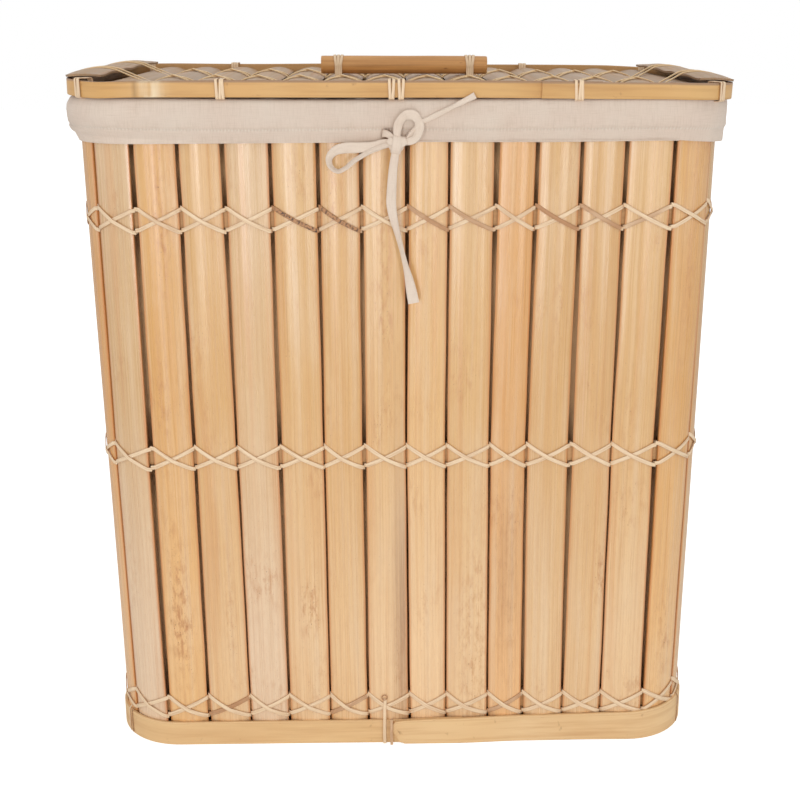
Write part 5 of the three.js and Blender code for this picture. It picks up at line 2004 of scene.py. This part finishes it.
    def handle(self) -> None:
        """Makes the rod and the ties that bind it to two strips."""
        centre_z = self.crown + 0.0003 + self.rod_radius
        self.rod(centre_z)
        foot, reach = self.bar_bottom + 0.0035, self.rod_radius + 0.0006
        for name, sign in (("left", -1), ("right", 1)):
            x = self.rod_shift + sign * self.rod_tie_spacing / 2
            strands = []
            for offset in (-0.0021, 0.0, 0.0021):
                spread = 0.0013 * np.sign(offset)
                corners = [(offset + spread * max(math.sin(a), 0), reach * math.cos(a),
                            centre_z + reach * math.sin(a)) for a in np.radians(np.arange(-20, 201, 20))]
                corners += [(offset, reach * share, foot + lift) for share, lift in (
                    (-0.9, 0.003), (-0.6, 0.0), (0.0, 0.0), (0.6, 0.0), (0.9, 0.003))]
                path = through([(x + cx, cy, cz) for cx, cy, cz in corners], 0.0012, closed=True)
                face = unit((path - np.array((0.0, 0.0, centre_z - 0.002))) * np.array((0.0, 1.0, 1.0)))
                strands.append(strand("strand", path, face, 0.0027, self.strand_thickness, closed=True,
                                      stain=0.12))
            self.finish(joined("tie", strands), f"handle_{name}_tie_rattan", self.finishes.rattan, "rattan",
                        f"handle_{name}_tie")

    def settle(self) -> None:
        """Sinks the lid into the soft cuff: rolls it to the right and bends it down past each bend."""
        for piece in self.pieces:
            take(piece)
            bpy.ops.object.mode_set(mode="EDIT")
            bpy.ops.mesh.select_all(action="SELECT")
            bpy.ops.transform.rotate(value=-self.lean / self.outline.x, orient_axis="Y",
                                     center_override=(0, 0, 0.59))
            bpy.ops.transform.translate(value=(self.slip, 0, -self.sag))
            for start in self.bends:
                work = bmesh.from_edit_mesh(piece.data)
                for vertex in work.verts:
                    vertex.select_set(vertex.co.x > start)
                work.select_flush(True)
                bmesh.update_edit_mesh(piece.data)
                if any(vertex.select for vertex in work.verts):
                    bpy.ops.transform.rotate(value=-self.droop / (self.outline.x - start), orient_axis="Y",
                                             center_override=(start, 0, 0.59))
            bpy.ops.object.mode_set(mode="OBJECT")

    def build(self) -> None:
        """Makes the lid's pieces in order."""
        self.band()
        self.strips()
        self.side_strips()
        self.ties()
        self.lashings()
        self.handle()
        self.settle()


# The room


@dataclass
class Studio:
    """The camera, the pale floor, the white surround and soft lamps."""

    azimuth: float = -0.57
    elevation: float = 14.60
    roll: float = -0.36
    distance: float = 1.28403
    focal_pixels: float = 1311.4
    target: Vec = (0.00056, 0.0, 0.32905)
    shift_pixels: float = -47.78
    picture: int = 800
    surround: float = 0.63
    left_power: float = 7.8
    right_power: float = 4.8
    side_power: float = 3.2
    top_power: float = 6.8

    def camera(self) -> None:
        """Sets up the camera at the photograph's viewing angle."""
        a, e, r = (math.radians(v) for v in (self.azimuth, self.elevation, self.roll))
        back = np.array((math.sin(a) * math.cos(e), -math.cos(a) * math.cos(e), math.sin(e)))
        level = np.array((math.cos(a), math.sin(a), 0.0))
        upright = np.cross(level, -back)
        right = level * math.cos(r) + upright * math.sin(r)
        up = upright * math.cos(r) - level * math.sin(r)
        where = np.array(self.target) + back * self.distance
        data = bpy.data.cameras.new("camera")
        data.sensor_width = 36.0
        data.lens = self.focal_pixels / self.picture * data.sensor_width
        data.shift_y = self.shift_pixels / self.picture
        data.clip_end = 50.0
        camera = bpy.data.objects.new("camera", data)
        rows = np.vstack((np.column_stack((right, up, back, where)), (0, 0, 0, 1)))
        camera.matrix_world = Matrix(rows.tolist())
        bpy.context.scene.collection.objects.link(camera)
        bpy.context.scene.camera = camera

    def lamp(self, name: str, where: Vec, at: Vec, size: tuple[float, float], power: float) -> None:
        """Hangs a soft lamp.

        Args:
            name: The lamp's name.
            where: Its middle.
            at: The point that it faces.
            size: Its width and height.
            power: Its power in watts.
        """
        data = bpy.data.lights.new(name, "AREA")
        data.shape = "RECTANGLE"
        data.size, data.size_y = size
        data.energy = power
        lamp = bpy.data.objects.new(name, data)
        lamp.location = where
        lamp.rotation_euler = (Vector(at) - Vector(where)).to_track_quat("-Z", "Y").to_euler()
        bpy.context.scene.collection.objects.link(lamp)

    def white_surround(self) -> None:
        """Makes the surround: white where it is seen, and dimmer where it only lights."""
        world = bpy.data.worlds.new("surround")
        bpy.context.scene.world = world
        g = Graph(world)
        rays = g.tree.nodes.new("ShaderNodeLightPath").outputs
        seen = g.sum("MAXIMUM", rays["Is Camera Ray"], rays["Is Glossy Ray"])
        seen = g.sum("MAXIMUM", seen, rays["Is Transmission Ray"])
        strength = g.between(seen, 0.0, 1.0, self.surround, 1.0)
        g.end("World", g.add("Background", {"Color": (1.0, 1.0, 1.0), "Strength": strength}))

    def pale_floor(self) -> None:
        """Makes the pale floor, which keeps the hamper's shadow."""
        bpy.ops.object.select_all(action="DESELECT")
        bpy.ops.mesh.primitive_grid_add(x_subdivisions=8, y_subdivisions=8, size=16)
        floor = bpy.context.active_object
        floor.name = "floor"
        g = Graph(bpy.data.materials.new("pale_floor"))
        glow = g.times(g.add("LightPath", {}, "Is Camera Ray"), 0.7)
        clouds = g.noise(g.object_space((3.0, 3.0, 3.0)), 2)
        ground = g.mix(g.between(clouds, 0.3, 0.7), (0.80, 0.80, 0.80), (0.82, 0.82, 0.82))
        floor.data.materials.append(g.done(ground, 0.9, Specular_IOR_Level=0.1, Emission_Strength=glow,
                                           Emission_Color=(1.0, 1.0, 1.0)))

    def build(self) -> None:
        """Sets up the camera, the surround, the floor and the lamps."""
        self.camera()
        self.white_surround()
        self.pale_floor()
        self.lamp("left_softbox", (-0.60, -1.95, 0.44), (0.0, -0.1, 0.30), (0.40, 0.95), self.left_power)
        self.lamp("right_softbox", (0.76, -1.9, 0.44), (0.0, -0.1, 0.30), (0.40, 0.95), self.right_power)
        self.lamp("left_wall", (-2.2, -0.7, 0.5), (-0.2, 0.0, 0.35), (1.4, 1.2), self.side_power)
        self.lamp("right_wall", (2.2, -0.7, 0.5), (0.2, 0.0, 0.35), (1.4, 1.2), self.side_power)
        self.lamp("top_softbox", (0.2, -0.5, 2.6), (0.0, 0.0, 0.3), (2.2, 2.2), self.top_power)
        bpy.context.scene.view_settings.view_transform = "Standard"


def main() -> None:
    """Builds the scene in order."""
    logging.basicConfig(level=logging.INFO, format="%(name)s: %(message)s")
    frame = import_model()
    Studio().build()
    finishes = Finishes.mixed()
    Drawstring(finishes).build()
    wall = Wall()
    Basket(wall, finishes).build(frame["nodes"])
    Liner(wall, finishes).build()
    Lid(wall, finishes).build()


if __name__ == "__main__":
    main()
